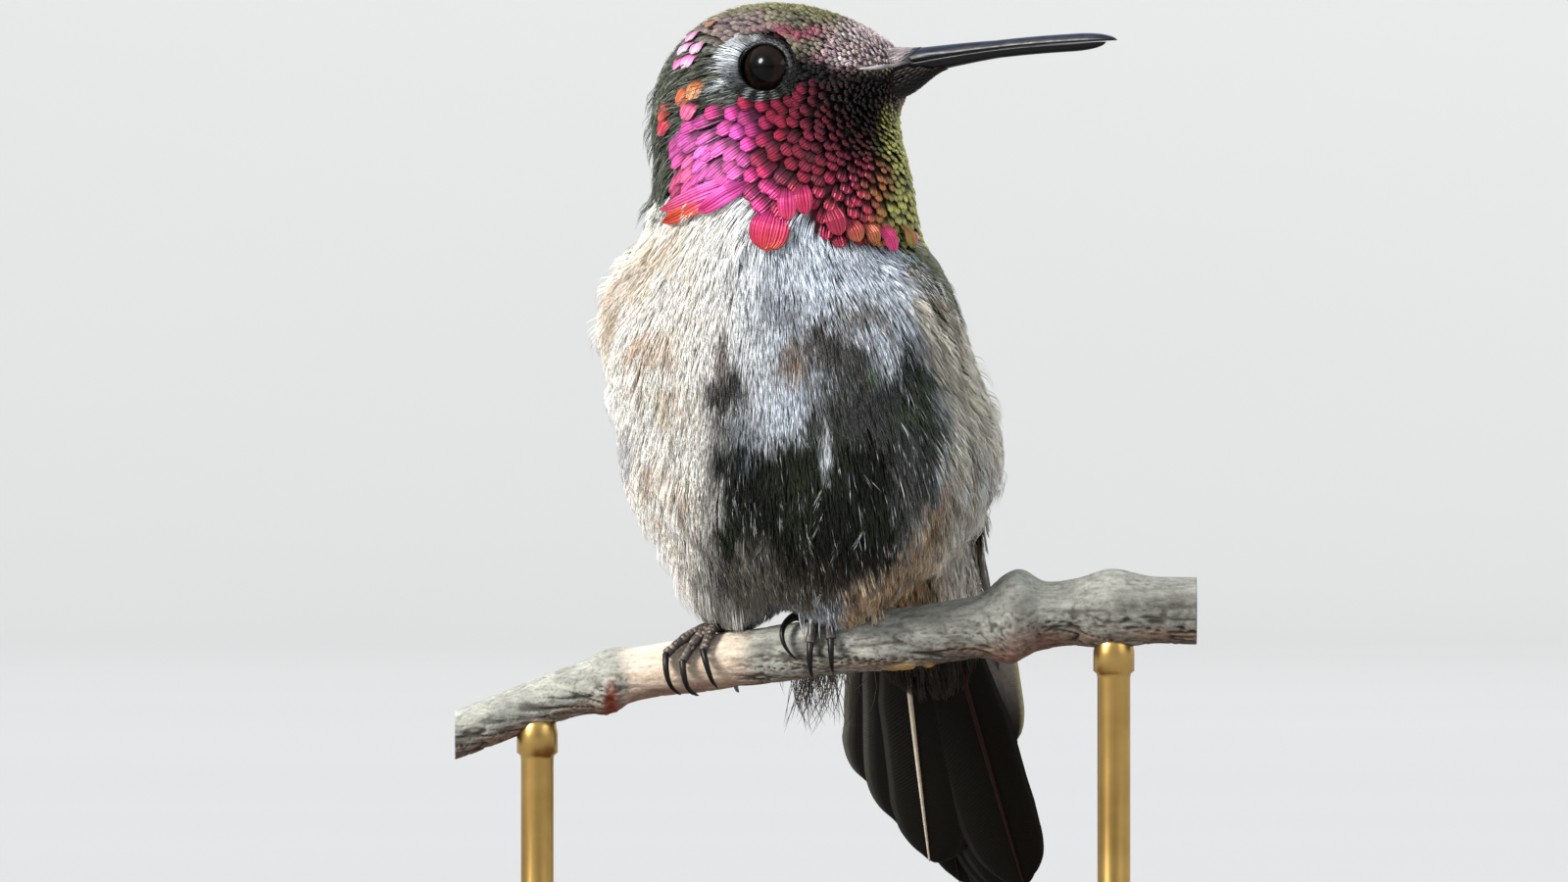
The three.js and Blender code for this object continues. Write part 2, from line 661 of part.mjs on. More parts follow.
// The head ends at a line from the chin to the nape, and the neck at one round the collar.
const headCut = cutAt(headFrame.at(11, 0, -0.6), headFrame.at(-0.22, 0, 1).sub(headFrame.origin));
const collarCut = cutAt(trunkFrame.at(4, 0, 28.4), trunkFrame.at(0.2, 0, 1).sub(trunkFrame.origin));
const pieces = coat
  .subtract(headCut)
  .subtract(collarCut)
  .decompose()
  .sort((a, b) => b.volume() - a.volume())
  .slice(0, 3)
  .sort((a, b) => b.boundingBox().max[2] - a.boundingBox().max[2]);
const [head, neck, trunk] = pieces;

const bird = new THREE.Group();
bird.position.set(STAND_SHIFT, -BASE_BACK, PERCH_HEIGHT);
bird.add(
  meshOf("head", head, materials.crown),
  meshOf("neck", neck, materials.gorget),
  meshOf("trunk", trunk, materials.breast),
  meshOf("tail", tail, materials.tail),
  meshOf("wing_left", wings.left, materials.wing),
  meshOf("wing_right", wings.right, materials.wing),
  meshOf("bill_upper", mandible(1, 1), materials.bill),
  meshOf("bill_lower", mandible(-1, 0.94), materials.bill),
  meshOf("eye_left", eyes.left, materials.eye),
  meshOf("eye_right", eyes.right, materials.eye),
);
for (const [name, foot] of legs) {
  bird.add(meshOf(`shank_${name}`, shank(foot), materials.foot));
  bird.add(meshOf(`foot_${name}`, footSolid(foot), materials.foot));
  for (const [digit, one] of Object.entries(foot.toes)) {
    bird.add(meshOf(`claw_${name}_${digit}`, claw(foot, one), materials.claw));
  }
}

const stand = new THREE.Group();
stand.position.copy(bird.position);
const rods = { left: -1, right: 1 };
let twig = perch;
let base = baseSolid();
for (const [name, side] of Object.entries(rods)) {
  twig = twig.subtract(rod(side, GAP));
  base = base.subtract(rod(side, GAP));
  stand.add(meshOf(`stand_rod_${name}`, rod(side), materials.rod));
}
stand.add(meshOf("perch", twig, materials.bark), meshOf("stand_base", base, materials.base));

const model = new THREE.Group();
model.add(bird, stand);

export default model;
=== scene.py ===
import math

import bpy
import numpy as np
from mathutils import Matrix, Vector, kdtree


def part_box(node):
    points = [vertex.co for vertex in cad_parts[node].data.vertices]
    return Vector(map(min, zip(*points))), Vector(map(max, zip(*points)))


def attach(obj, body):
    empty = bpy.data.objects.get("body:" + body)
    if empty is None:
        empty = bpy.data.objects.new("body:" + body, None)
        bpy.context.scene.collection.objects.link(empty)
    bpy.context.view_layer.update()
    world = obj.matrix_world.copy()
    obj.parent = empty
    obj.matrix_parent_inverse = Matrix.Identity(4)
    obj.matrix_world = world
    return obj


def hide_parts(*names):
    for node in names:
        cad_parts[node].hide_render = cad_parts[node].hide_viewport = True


# An adult male hummingbird on a cut twig, held over a plain base. Lengths are in millimetres up to
# make(), lay_plates() and the room, which are in metres. Colours are six hexadecimal digits.

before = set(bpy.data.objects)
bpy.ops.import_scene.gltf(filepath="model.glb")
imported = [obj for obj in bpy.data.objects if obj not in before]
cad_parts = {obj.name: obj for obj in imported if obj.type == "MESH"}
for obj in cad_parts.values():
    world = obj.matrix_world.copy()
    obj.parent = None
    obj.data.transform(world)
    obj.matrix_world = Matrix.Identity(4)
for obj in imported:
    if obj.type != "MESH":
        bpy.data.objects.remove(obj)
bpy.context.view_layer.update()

MM = 0.001
DEG = math.pi / 180
UP = np.array([0.0, 0.0, 1.0])
rng = np.random.default_rng(11)


# ---- Small helpers ------------------------------------------------------------------------------

def unit(a):
    return a / np.maximum(np.linalg.norm(a, axis=-1, keepdims=True), 1e-9)


def dot(a, b):
    return np.sum(a * b, axis=-1)


def ramp(low, high, x):
    """Runs smoothly from 0 at low to 1 at high."""
    t = np.clip((x - low) / (high - low), 0, 1)
    return t * t * (3 - 2 * t)


def bell(x, at, wide):
    """1 at a place, and less to both sides of it."""
    return np.exp(-(((x - at) / wide) ** 2))


def spot(x, y, at, size, soft=0.5):
    """1 in an oval patch, fading at its edge."""
    away = np.hypot((x - at[0]) / size[0], (y - at[1]) / size[1])
    return ramp(1 + soft, 1 - soft, away)


def rounded(share, start, power, least):
    """A half width that is full up to start and then closes in a round end."""
    return np.sqrt(np.clip(1 - np.clip((share - start) / (1 - start), 0, 1) ** power, least, 1))


def turns(count):
    """Angles of that many equal steps round a circle."""
    return np.arange(count) / count * 2 * np.pi


def spokes(a, b, angle):
    """Directions at those angles, from a towards b."""
    return a * np.cos(angle)[:, None] + b * np.sin(angle)[:, None]


def paint(code):
    """The linear colour of six hexadecimal digits."""
    rgb = np.array([int(code[i : i + 2], 16) for i in (0, 2, 4)]) / 255
    return np.where(rgb <= 0.04045, rgb / 12.92, ((rgb + 0.055) / 1.055) ** 2.4)


def mix(a, b, share):
    """Part of the way from a to b, which are places, directions or colours."""
    a, b = (paint(end) if isinstance(end, str) else end for end in (a, b))
    return a + (b - a) * np.asarray(share)[..., None]


def layered(under, *layers):
    """Colours laid over each other. Each layer is a colour and how much of it shows."""
    for colour, share in layers:
        under = mix(under, colour, share)
    return under


def mottle(p, size, seed=0):
    """Smooth random patches about that size across, from 0 to 1."""
    q = p / size + seed * 17.3
    cell = np.floor(q).astype(np.int64)
    part = q - cell
    part = part * part * (3 - 2 * part)
    total = 0.0
    for corner in np.ndindex(2, 2, 2):
        at = cell + np.array(corner)
        code = (at[..., 0] * 73856093) ^ (at[..., 1] * 19349663) ^ (at[..., 2] * 83492791)
        code = (code * 2654435761 + seed * 40503) & 0xFFFFFFFF
        code = ((code ^ (code >> 15)) * 2246822519) & 0xFFFFFFFF
        weight = np.prod(np.where(np.array(corner), part, 1 - part), axis=-1)
        total = total + weight * (code ^ (code >> 13)) / 4294967296.0
    return total


def columns_at(x, stops, values):
    """Each column of values read at x."""
    return np.stack([np.interp(x, stops, column) for column in values.T], -1)


def run_length(points):
    """How far along a line of points each point is."""
    steps = np.linalg.norm(np.diff(points, axis=0), axis=1)
    return np.concatenate([[0], np.cumsum(steps)])


def finder(points):
    """A tree that finds the nearest of the points."""
    tree = kdtree.KDTree(len(points))
    for number, place in enumerate(points):
        tree.insert(place, number)
    tree.balance()
    return tree


class Axes:
    """A frame of its own: forward, left and up from an origin."""

    def __init__(self, origin, forward, left):
        self.origin = np.array(origin, float)
        self.rows = np.array([forward, left, np.cross(forward, left)])

    def at(self, f, l, u):
        return self.origin + np.stack(np.broadcast_arrays(f, l, u), -1) @ self.rows

    def local(self, p):
        return (p - self.origin) @ self.rows.T


def through(points, shares):
    """Points at those shares of a smooth curve through the given points."""
    p = np.asarray(points, float)
    p = np.vstack([2 * p[0] - p[1], p, 2 * p[-1] - p[-2]])
    count = len(p) - 3
    out = []
    for share in shares:
        x = min(share * count, count - 1e-9)
        i = int(x)
        w = x - i
        a, b, c, d = p[i : i + 4]
        e, f, g = (np.linalg.norm(n - m) ** 0.5 for m, n in ((a, b), (b, c), (c, d)))
        s = ((b - a) / e - (c - a) / (e + f) + (c - b) / f) * f
        t = ((c - b) / f - (d - b) / (f + g) + (d - c) / g) * f
        out.append(b + s * w + (3 * (c - b) - 2 * s - t) * w**2 + (2 * (b - c) + s + t) * w**3)
    return np.array(out)


# ---- Frames of the head, the trunk and the twig ---------------------------------------------------

def middle_of(node):
    low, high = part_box(node)
    return (np.array(low) + np.array(high)) / 2 / MM


STAND_ON = np.array([-3.0, -4.0, 34.0])  # on the level of the twig's top, under the bird
BREAST_TURN = 24 * DEG  # the breast faces this far to the bird's right of -Y
EYE_FORWARD, EYE_UP = 2.7, 2.5  # from the middle of the skull
EYE_RADIUS = 2.25

eye_left, eye_right = middle_of("eye_left"), middle_of("eye_right")
head_left = unit((eye_left - eye_right) * [1, 1, 0])
head_forward = np.cross(head_left, UP)
skull = (eye_left + eye_right) / 2 - EYE_FORWARD * head_forward - EYE_UP * UP
HEAD = Axes(skull, head_forward, head_left)
TRUNK = Axes(
    STAND_ON + [1.75, 0, 0],
    [-math.sin(BREAST_TURN), -math.cos(BREAST_TURN), 0],
    [math.cos(BREAST_TURN), -math.sin(BREAST_TURN), 0],
)
EYES = [(eye_left, head_left), (eye_right, -head_left)]
BILL_START = HEAD.at(9.4, 0, 1.9)  # the feathers of the head lie away from here

PERCH_POINTS = [
    [-24, 2.6, -7.9], [-13.2, 1.9, -4.0], [-0.7, 0.2, -1.95],
    [12, -1.9, -0.3], [22, -3.4, 1.2], [30, -4.6, 1.2],
]
KNOTS = [(-12.8, 0.4, 1.3), (16.9, 0.85, 1.7), (23.8, 0.35, 2.2)]  # place, swelling and half length
perch_line = through(PERCH_POINTS, np.linspace(0, 1, 400))


def above_twig(p):
    return p[..., 2] - STAND_ON[2]


def perch_radius(x):
    return 2.1 + 0.012 * x + sum(swell * bell(x, at, wide) for at, swell, wide in KNOTS)


def perch_centre(x):
    x = np.asarray(x, float)
    return np.concatenate([x[..., None], columns_at(x, perch_line[:, 0], perch_line[:, 1:])], -1) + STAND_ON


def off_the_twig(path):
    """Moves points that would be inside the twig out to its bark."""
    x = path[..., 0] - STAND_ON[0]
    out = (path - perch_centre(x)) * [0, 1, 1]
    away = np.linalg.norm(out, axis=-1)
    push = np.maximum(0, perch_radius(x) + 0.15 - away) * (np.abs(x - 3) < 27)
    return path + unit(out) * push[..., None]


# ---- The plumage: a blend of rounded masses ------------------------------------------------------

def egg(axes, centre, long, side, deep, pitch=0):
    """Distance to an ellipsoid whose long axis rises forwards by pitch degrees."""
    forward, left, up = axes.rows
    along = forward * math.cos(pitch * DEG) + up * math.sin(pitch * DEG)
    turn = np.array([along, left, np.cross(along, left)]).T
    middle, half = axes.at(*centre), np.array([long, side, deep])

    def distance(p):
        q = (p - middle) @ turn
        near = np.linalg.norm(q / half, axis=-1)
        return near * (near - 1) / np.maximum(np.linalg.norm(q / half**2, axis=-1), 1e-9)

    return distance


def column(a, b, radius_a, radius_b):
    """Distance to a round column that changes its radius from a to b."""
    axis = b - a

    def distance(p):
        q = p - a
        t = np.clip(q @ axis / (axis @ axis), 0, 1)
        return np.linalg.norm(q - t[..., None] * axis, axis=-1) - radius_a - (radius_b - radius_a) * t

    return distance


MASSES = [
    egg(TRUNK, [3.4, -0.7, 20.8], 10.6, 13.5, 10.4, 72),  # breast
    egg(TRUNK, [0.8, 0.4, 12.6], 11.4, 14.3, 10.6, 60),  # belly
    egg(TRUNK, [-4.2, 0.3, 17.5], 12, 9.8, 7.5, 58),  # back
    egg(TRUNK, [-8.2, 1.4, 7.4], 9.2, 8.2, 7, 50),  # rump
    egg(TRUNK, [-13.4, 2.6, 1.6], 8.4, 5.2, 3.3, 54),  # tail coverts
    egg(TRUNK, [0.9, -5.7, 4.9], 5.4, 3.5, 4.4, 84),  # right thigh
    egg(TRUNK, [0.9, 3.2, 5], 5, 3.6, 4.3, 88),  # left thigh
    column(TRUNK.at(3.9, -0.6, 26.6), TRUNK.at(4.3, -1.1, 34.5), 9.6, 8.3),  # neck
    egg(HEAD, [-0.1, 0, 0.4], 7.7, 7.1, 6.8),  # skull
    egg(HEAD, [5, 0, 2.2], 6.2, 4.5, 3.7, -6),  # face
    egg(HEAD, [2.4, 0, -6.6], 8.2, 7.8, 7.6),  # throat
]
BLEND = 3.0  # how near two masses are when they start to flow together
TETRA = np.array([[1, -1, -1], [-1, -1, 1], [-1, 1, -1], [1, 1, 1]], float)


def plumage(p):
    """How far a point is outside the outermost feathers."""
    total = np.full(p.shape[:-1], 1e3)
    for mass in MASSES:
        d = mass(p)
        h = np.maximum(BLEND - np.abs(total - d), 0) / BLEND
        total = np.minimum(total, d) - h * h * BLEND / 4
    return total


def probe(p, field=plumage, step=0.05):
    """The outward direction and the distance at each point."""
    way, value = np.zeros_like(p), 0.0
    for corner in TETRA:
        d = field(p + corner * step)
        way += corner * d[..., None]
        value = value + d / len(TETRA)
    return unit(way), value


def settled(p, level, rounds=1):
    """Points moved to a level above the plumage's surface, and the outward direction there."""
    for _ in range(rounds):
        over, value = probe(p)
        p = p + over * (level - value)[:, None]
    return p, over


def from_eye(p, centre, axis):
    """How far out along an eye's axis each point is, and its offset from that axis."""
    q = p - centre
    out = dot(q, axis)
    return out, q - out[..., None] * axis


def coat_depth(p):
    """How thick the feathers lie over the skin."""
    return 0.42 + 0.75 * ramp(31, 25, above_twig(p))


def skin_field(p):
    """How far a point is outside the skin, which has a socket for each eye."""
    d = plumage(p) + coat_depth(p)
    for centre, axis in EYES:
        out, aside = from_eye(p, centre, axis)
        ball = EYE_RADIUS + 0.08 - np.linalg.norm(p - centre, axis=-1)
        funnel = 2.12 + 0.3 * (out - 1.4) - np.linalg.norm(aside, axis=-1)
        d = np.maximum(d, np.maximum(ball, np.where(out > 0, funnel, -1.0)))
    return d


def halves(a, b, c, d):
    """Two triangles for each four corners."""
    return [np.stack([a, b, c], -1), np.stack([a, c, d], -1)]


def surface(field, low, high, cell):
    """The closed surface where a field is zero: one point in each grid cell that it passes."""
    axes = [np.arange(a, b + cell, cell) for a, b in zip(low, high)]
    grid = np.stack(np.meshgrid(*axes, indexing="ij"), -1)
    value = np.stack([field(layer) for layer in grid])
    cells = np.array(value.shape) - 1
    total, count = np.zeros((*cells, 3)), np.zeros(cells)
    step = np.eye(3, dtype=int)
    crossings = []
    for axis in range(3):
        a, b = np.delete(value, -1, axis), np.delete(value, 0, axis)
        crossed = (a < 0) != (b < 0)
        where = np.argwhere(crossed)
        place = where.astype(float)
        place[:, axis] += (a / np.where(crossed, a - b, 1))[crossed]
        s, t = step[(axis + 1) % 3], step[(axis + 2) % 3]
        round_it = [where - s - t, where - t, where, where - s]
        for at in round_it:
            np.add.at(total, tuple(at.T), place)
            np.add.at(count, tuple(at.T), 1)
        crossings.append((round_it, a[crossed] < 0))
    number = np.full(count.shape, -1)
    number[count > 0] = np.arange(np.count_nonzero(count))
    points = total[count > 0] / count[count > 0][:, None] * cell + np.array([a[0] for a in axes])
    faces = []
    for round_it, outward in crossings:
        a, b, c, d = (number[tuple(at.T)] for at in round_it)
        faces += halves(a, np.where(outward, b, d), c, np.where(outward, d, b))
    for _ in range(2):
        way, value = probe(points, field, 0.1)
        points -= way * np.clip(value, -0.1, 0.1)[:, None]
    return points, np.vstack(faces)


# ---- Making meshes ------------------------------------------------------------------------------

COAT_MAPS = ("OFBake", "Grain")


class Heap:
    """Closed shapes that become one mesh: points with a colour, a place on the skin's unwrap, and
    their own place across and along the shape."""

    def __init__(self):
        self.points, self.faces, self.colours = [], [], []
        self.maps = {name: [] for name in COAT_MAPS}
        self.count = 0

    def add(self, points, faces, colour, patch=0.0, grain=0.0):
        n = len(points)
        self.points.append(points)
        self.faces.append(faces + self.count)
        self.colours.append(np.broadcast_to(colour, (n, 3)))
        for name, values in zip(COAT_MAPS, (patch, grain)):
            self.maps[name].append(np.broadcast_to(values, (n, 2)))
        self.count += n


def show(name, data):
    """A new object in the scene."""
    shown = bpy.data.objects.new(name, data)
    bpy.context.scene.collection.objects.link(shown)
    return shown


def hand_over(mesh, replaces=()):
    """A finished mesh as a piece of the part."""
    piece = show(mesh.name, mesh)
    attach(piece, "root")
    if replaces:
        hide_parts(*replaces)
    return piece


def make(name, heap, material, replaces=(), smooth=True, maps=("Grain",)):
    """A piece from the shapes of a heap."""
    points = np.vstack(heap.points) * MM
    faces = np.vstack(heap.faces)
    mesh = bpy.data.meshes.new(name)
    mesh.vertices.add(len(points))
    mesh.vertices.foreach_set("co", points.ravel())
    mesh.loops.add(faces.size)
    mesh.loops.foreach_set("vertex_index", faces.ravel().astype(np.int32))
    mesh.polygons.add(len(faces))
    mesh.polygons.foreach_set("loop_start", np.arange(0, faces.size, 3, dtype=np.int32))
    mesh.polygons.foreach_set("use_smooth", np.full(len(faces), smooth))
    mesh.update(calc_edges=True)
    colours = np.hstack([np.vstack(heap.colours), np.ones((len(points), 1))])
    shade = mesh.color_attributes.new("Colour", "FLOAT_COLOR", "POINT")
    shade.data.foreach_set("color", colours.ravel())
    for title in maps:
        layer = mesh.uv_layers.new(name=title)
        layer.data.foreach_set("uv", np.vstack(heap.maps[title])[faces.ravel()].ravel())
    mesh.materials.append(material)
    return hand_over(mesh, replaces)


def band(rings, sides, joined=False):
    """The four corners of each face between neighbouring rings of points."""
    k, i = np.meshgrid(np.arange(rings if joined else rings - 1), np.arange(sides), indexing="ij")
    here, there = k * sides, (k + 1) % rings * sides
    beside = (i + 1) % sides
    return [corner.ravel() for corner in (here + i, here + beside, there + beside, there + i)]


def ring_faces(rings, sides):
    """Faces of a tube of that many rings with a middle point at each end, numbered last."""
    i = np.arange(sides)
    beside = (i + 1) % sides
    last = (rings - 1) * sides
    middle = np.full(sides, rings * sides)
    ends = [np.stack([middle, beside, i], -1), np.stack([middle + 1, last + i, last + beside], -1)]
    return np.vstack(halves(*band(rings, sides)) + ends)


def add_rings(heap, rings, colour):
    """Adds a closed tube through rings of points, each counter-clockwise about the way it runs. The
    colour is one for all, one for each ring or one for each point."""
    count, sides = rings.shape[:2]
    points = np.vstack([rings.reshape(-1, 3), rings[0].mean(0), rings[-1].mean(0)])
    length = run_length(rings.mean(1))
    grain = np.stack(np.meshgrid(np.arange(sides) / sides, length, indexing="xy"), -1).reshape(-1, 2)
    grain = np.vstack([grain, [0.5, length[0]], [0.5, length[-1]]])
    if colour.ndim == 2:
        colour = np.repeat(colour[:, None], sides, axis=1)
    if colour.ndim == 3:
        colour = np.vstack([colour.reshape(-1, 3), colour[0].mean(0), colour[-1].mean(0)])
    heap.add(points, ring_faces(count, sides), colour, grain=grain)


def directions(path, over):
    """The way of a path, and the side and over directions that go with it."""
    way = unit(np.gradient(path, axis=-2))
    side = unit(np.cross(np.broadcast_to(over, path.shape), way))
    return way, side, np.cross(way, side)


def tube_rings(path, over, half_side, half_over, sides):
    _, side, over = directions(path, over)
    angle = turns(sides)[:, None]
    half_side, half_over = (np.reshape(half, (-1, 1, 1)) for half in (half_side, half_over))
    rings = path[:, None] + side[:, None] * np.cos(angle) * half_side
    return rings + over[:, None] * np.sin(angle) * half_over


# ---- Where feathers stand and how they lie --------------------------------------------------------

DOWN_THE_BODY = unit(-TRUNK.rows[0] * 0.36 - UP)
PATCH = 0.003  # how wide each feather's patch is on the skin's unwrap


def swung(way, over, angle):
    """A direction turned about the outward one."""
    return way * np.cos(angle)[..., None] + np.cross(over, way) * np.sin(angle)[..., None]


def heading(p, over):
    """The way the coat lies at each point, along the surface. Round the eyes it parts."""
    f, _, u = HEAD.local(p).T
    nape = ramp(-4.0, -7.5, f)
    of_head = unit(p - BILL_START) - (1.3 * nape)[:, None] * UP
    of_head -= (ramp(-0.5, 3.5, u) * ramp(1, -5, f) * 0.25)[:, None] * UP
    way = mix(DOWN_THE_BODY, of_head, ramp(26.5, 31, above_twig(p)))
    way -= dot(way, over)[:, None] * over
    for centre, axis in EYES:
        out, aside = from_eye(p, centre, axis)
        spoke = unit(aside)
        inward = np.minimum(0, dot(way, spoke)) * ramp(3.9, 2.4, dot(aside, spoke)) * (out > 0)
        way -= inward[:, None] * spoke
    way -= dot(way, over)[:, None] * over
    return unit(way)


def lie(roots, length, stops, level, bend, curl=0.0):
    """Paths over the bird from the roots. level is how far outside the plumage's surface each
    path runs at each stop, and bend turns a path away from the lie of the coat."""
    p, over = roots, probe(roots)[0]
    path, tops = [p], [over]
    for k in range(1, len(stops)):
        way = swung(heading(p, over), over, bend + curl * stops[k])
        p = p + way * (length * (stops[k] - stops[k - 1]))[:, None]
        p, over = settled(p, level[:, k])
        path.append(p)
        tops.append(over)
    return np.stack(path, 1), np.stack(tops, 1)


def thinned(points, spacing):
    """Numbers of the points that are kept, so that none has a neighbour nearer than its spacing."""
    tree = finder(points)
    free = np.ones(len(points), bool)
    kept = []
    for i, p in enumerate(points):
        if free[i]:
            kept.append(i)
            for _, j, _ in tree.find_range(p, spacing[i]):
                free[j] = False
    return np.array(kept)


def clear_of_eyes(path, room=2.0):
    """True for the paths that leave the eyes open."""
    clear = np.ones(len(path), bool)
    for centre, axis in EYES:
        out, aside = from_eye(path, centre, axis)
        clear &= ~np.any((np.linalg.norm(aside, axis=-1) < room) & (out > 0), axis=-1)
    return clear


# ---- Vanes and barbs ------------------------------------------------------------------------------

def vane_faces(rows, columns):
    """A closed blade: a grid on top, and beneath it one line of points down the middle."""
    under = rows * columns
    edge = columns - 1
    faces = []
    for k in range(rows - 1):
        a, b = k * columns, (k + 1) * columns
        low, low_next = under + k, under + k + 1
        corners = [(a + j, b + j, b + j + 1, a + j + 1) for j in range(edge)]
        corners += [(a, low, low_next, b), (low, a + edge, b + edge, low_next)]
        faces += [triangle for p, q, r, s in corners for triangle in ((p, q, r), (p, r, s))]
    last, low_last = under - columns, under + rows - 1
    for j in range(edge):
        faces += [(under, j, j + 1), (low_last, last + j + 1, last + j)]
    return np.array(faces)


def barb_faces(rows):
    """A slim bar of three sides that runs out to a point."""
    faces = [(0, 2, 1)]
    for k in range(0, 3 * rows - 3, 3):
        for i, j in ((0, 1), (1, 2), (2, 0)):
            faces += [(k + i, k + j, k + 3 + j), (k + i, k + 3 + j, k + 3 + i)]
    k, tip = 3 * rows - 3, 3 * rows
    faces += [(k, k + 1, tip), (k + 1, k + 2, tip), (k + 2, k, tip)]
    return np.array(faces)


def add_many(heap, points, faces, across, along, shade, patch, wide=1.0):
    """Adds feathers that share their faces. shade(across, along) gives each one's colour at a
    place on it: an array of feathers by points by 3. wide is the half width of each."""
    number, each = points.shape[:2]
    faces = (faces[None] + np.arange(number)[:, None, None] * each).reshape(-1, 3)
    offset = np.stack([across * 0.5, along - 0.5], -1) * PATCH
    grain = np.tile(np.stack([across, along], -1), (number, 1))
    grain[:, 0] *= np.repeat(np.broadcast_to(wide, number), each)
    places = (patch[:, None] + offset).reshape(-1, 2)
    heap.add(points.reshape(-1, 3), faces, shade(across, along).reshape(-1, 3), places, grain)


def add_vanes(heap, path, over, half, thick, camber, ridge, shade, patch, columns):
    """Adds one blade along each path. half is its half width at each stop."""
    number, rows = path.shape[:2]
    _, side, over = directions(path, over)
    x = np.linspace(-1, 1, columns)
    half = half[:, :, None]
    lift = ridge * np.where(np.arange(columns) % 2, 1, -1) * (half > half.max() * 0.3) - camber * half * x**2
    top = path[:, :, None] + side[:, :, None] * (half * x)[..., None] + over[:, :, None] * lift[..., None]
    points = np.concatenate([top.reshape(number, -1, 3), path - over * thick], 1)
    share = np.linspace(0, 1, rows)
    across = np.concatenate([np.tile(x, rows), np.zeros(rows)])
    along = np.concatenate([np.repeat(share, columns), share])
    wide = half.max(axis=(1, 2))
    add_many(heap, points, vane_faces(rows, columns), across, along, shade, patch, wide)


def add_barbs(heap, path, over, half, shade, patch):
    """Adds one fine barb along each path. The last stop is its point."""
    number, rows = path.shape[0], path.shape[1] - 1
    _, side, over = directions(path, over)
    wide = (half[:, None] * np.linspace(1, 0.62, rows))[..., None]
    middle, side, over = path[:, :rows], side[:, :rows] * wide, over[:, :rows] * wide * 0.9
    points = np.stack([middle - side, middle + side, middle + over], 2).reshape(number, -1, 3)
    points = np.concatenate([points, path[:, -1:]], 1)
    across = np.append(np.tile([-1, 1, 0.0], rows), 0.0)
    along = np.append(np.repeat(np.linspace(0, 0.8, rows), 3), 1.0)
    add_many(heap, points, barb_faces(rows), across, along, shade, patch)


def plain(tones):
    """A shade that keeps one tone all over each feather."""
    return lambda across, along: np.repeat(tones[:, None], len(along), axis=1)


# ---- Colours, with painted sunlight, shade and sheen: the same for the skin and for the feathers that stand on it ---

# The throat's lower edge: degrees round the head from the bill, and height above the skull's middle.
EDGE_TURN = [0, 36, 43, 48, 55, 62, 72, 79, 98, 120, 128]
EDGE_UP = [-10.8, -10.5, -9.7, -7.9, -8.9, -9.2, -7.9, -6.5, -7.8, -8.8, -7.0]
THROAT_END = 126  # degrees
NAPE_UP = -7.6  # where the head's feathers end at the back


def throat_edge(turn):
    return np.interp(turn, EDGE_TURN, EDGE_UP)


def neck_line(turn, lift, behind):
    """A height just off the throat's lower edge, which goes on at its own height behind the head."""
    return np.where(turn < THROAT_END, throat_edge(turn) + lift, behind)


def throat_top(f):
    return np.interp(f, [-7, -4.3, -0.2, 3.7, 6.6, 11.2], [-5.8, -2.9, 0, 0.35, 1.5, 1.5])


def head_place(p):
    """Forward, left, up, degrees from the bill to either side, and distance from the bill's start."""
    f, l, u = HEAD.local(p).T
    return f, l, u, np.degrees(np.arctan2(np.abs(l), f)), np.linalg.norm(p - BILL_START, axis=-1)


def on_throat(p):
    f, _, u, turn, _ = head_place(p)
    inside = ramp(0.25, -0.25, u - throat_top(f)) * ramp(-0.2, 0.3, u - throat_edge(turn))
    return inside * ramp(THROAT_END + 4, THROAT_END - 2, turn)


def throat_colour_and_sheen(p):
    f, l, u, turn, away = head_place(p)
    turn = np.where(l > 0, np.maximum(0, turn - 22), turn)
    patches = mottle(p, 1.6, 3)
    uneven, broken = patches - 0.5, 0.4 + 0.6 * patches
    # The gorget's own rose, with its iridescence painted in as sheen: magenta and hot pink where it catches
    # the light, near black towards the chin and the bill where it doesn't, gold and olive at the front, with
    # more gold on the bird's left side.
    return 0.88 * layered(
        mix("8C1632", "BE2450", patches),
        ("4A0C1E", ramp(66, 38, turn) * ramp(-8.5, -3.0, u) * 0.8),
        ("DE44AA", ramp(66, 82, turn + 12 * uneven) * ramp(0.3, -2.2, u)),
        ("F67CCC", spot(f, u, [-2.4, -4.6], [3.4, 2.6]) * broken),
        ("C82A7A", spot(f, u, [2.6, -6.8], [2.2, 1.6]) * 0.8),
        ("D8585A", ramp(104, 118, turn) * ramp(-3.4, -5.0, u) * broken),
        ("BC3450", ramp(44, 30, turn) * ramp(-6.4, -8.2, u) * 0.85),
        ("C0843E", ramp(25, 14, turn + 10 * uneven) * ramp(-2.5, -8.0, u) * 0.8),
        ("B8B65C", ramp(15, 4, turn + 12 * uneven) * ramp(1.0, -2.0, u)),
        ("1C0C08", ramp(7.6, 3.8, away + 2.0 * uneven) * ramp(5, 12, turn)),
        ("14070A", ramp(3.0, 1.2, away) * 0.7),
    )


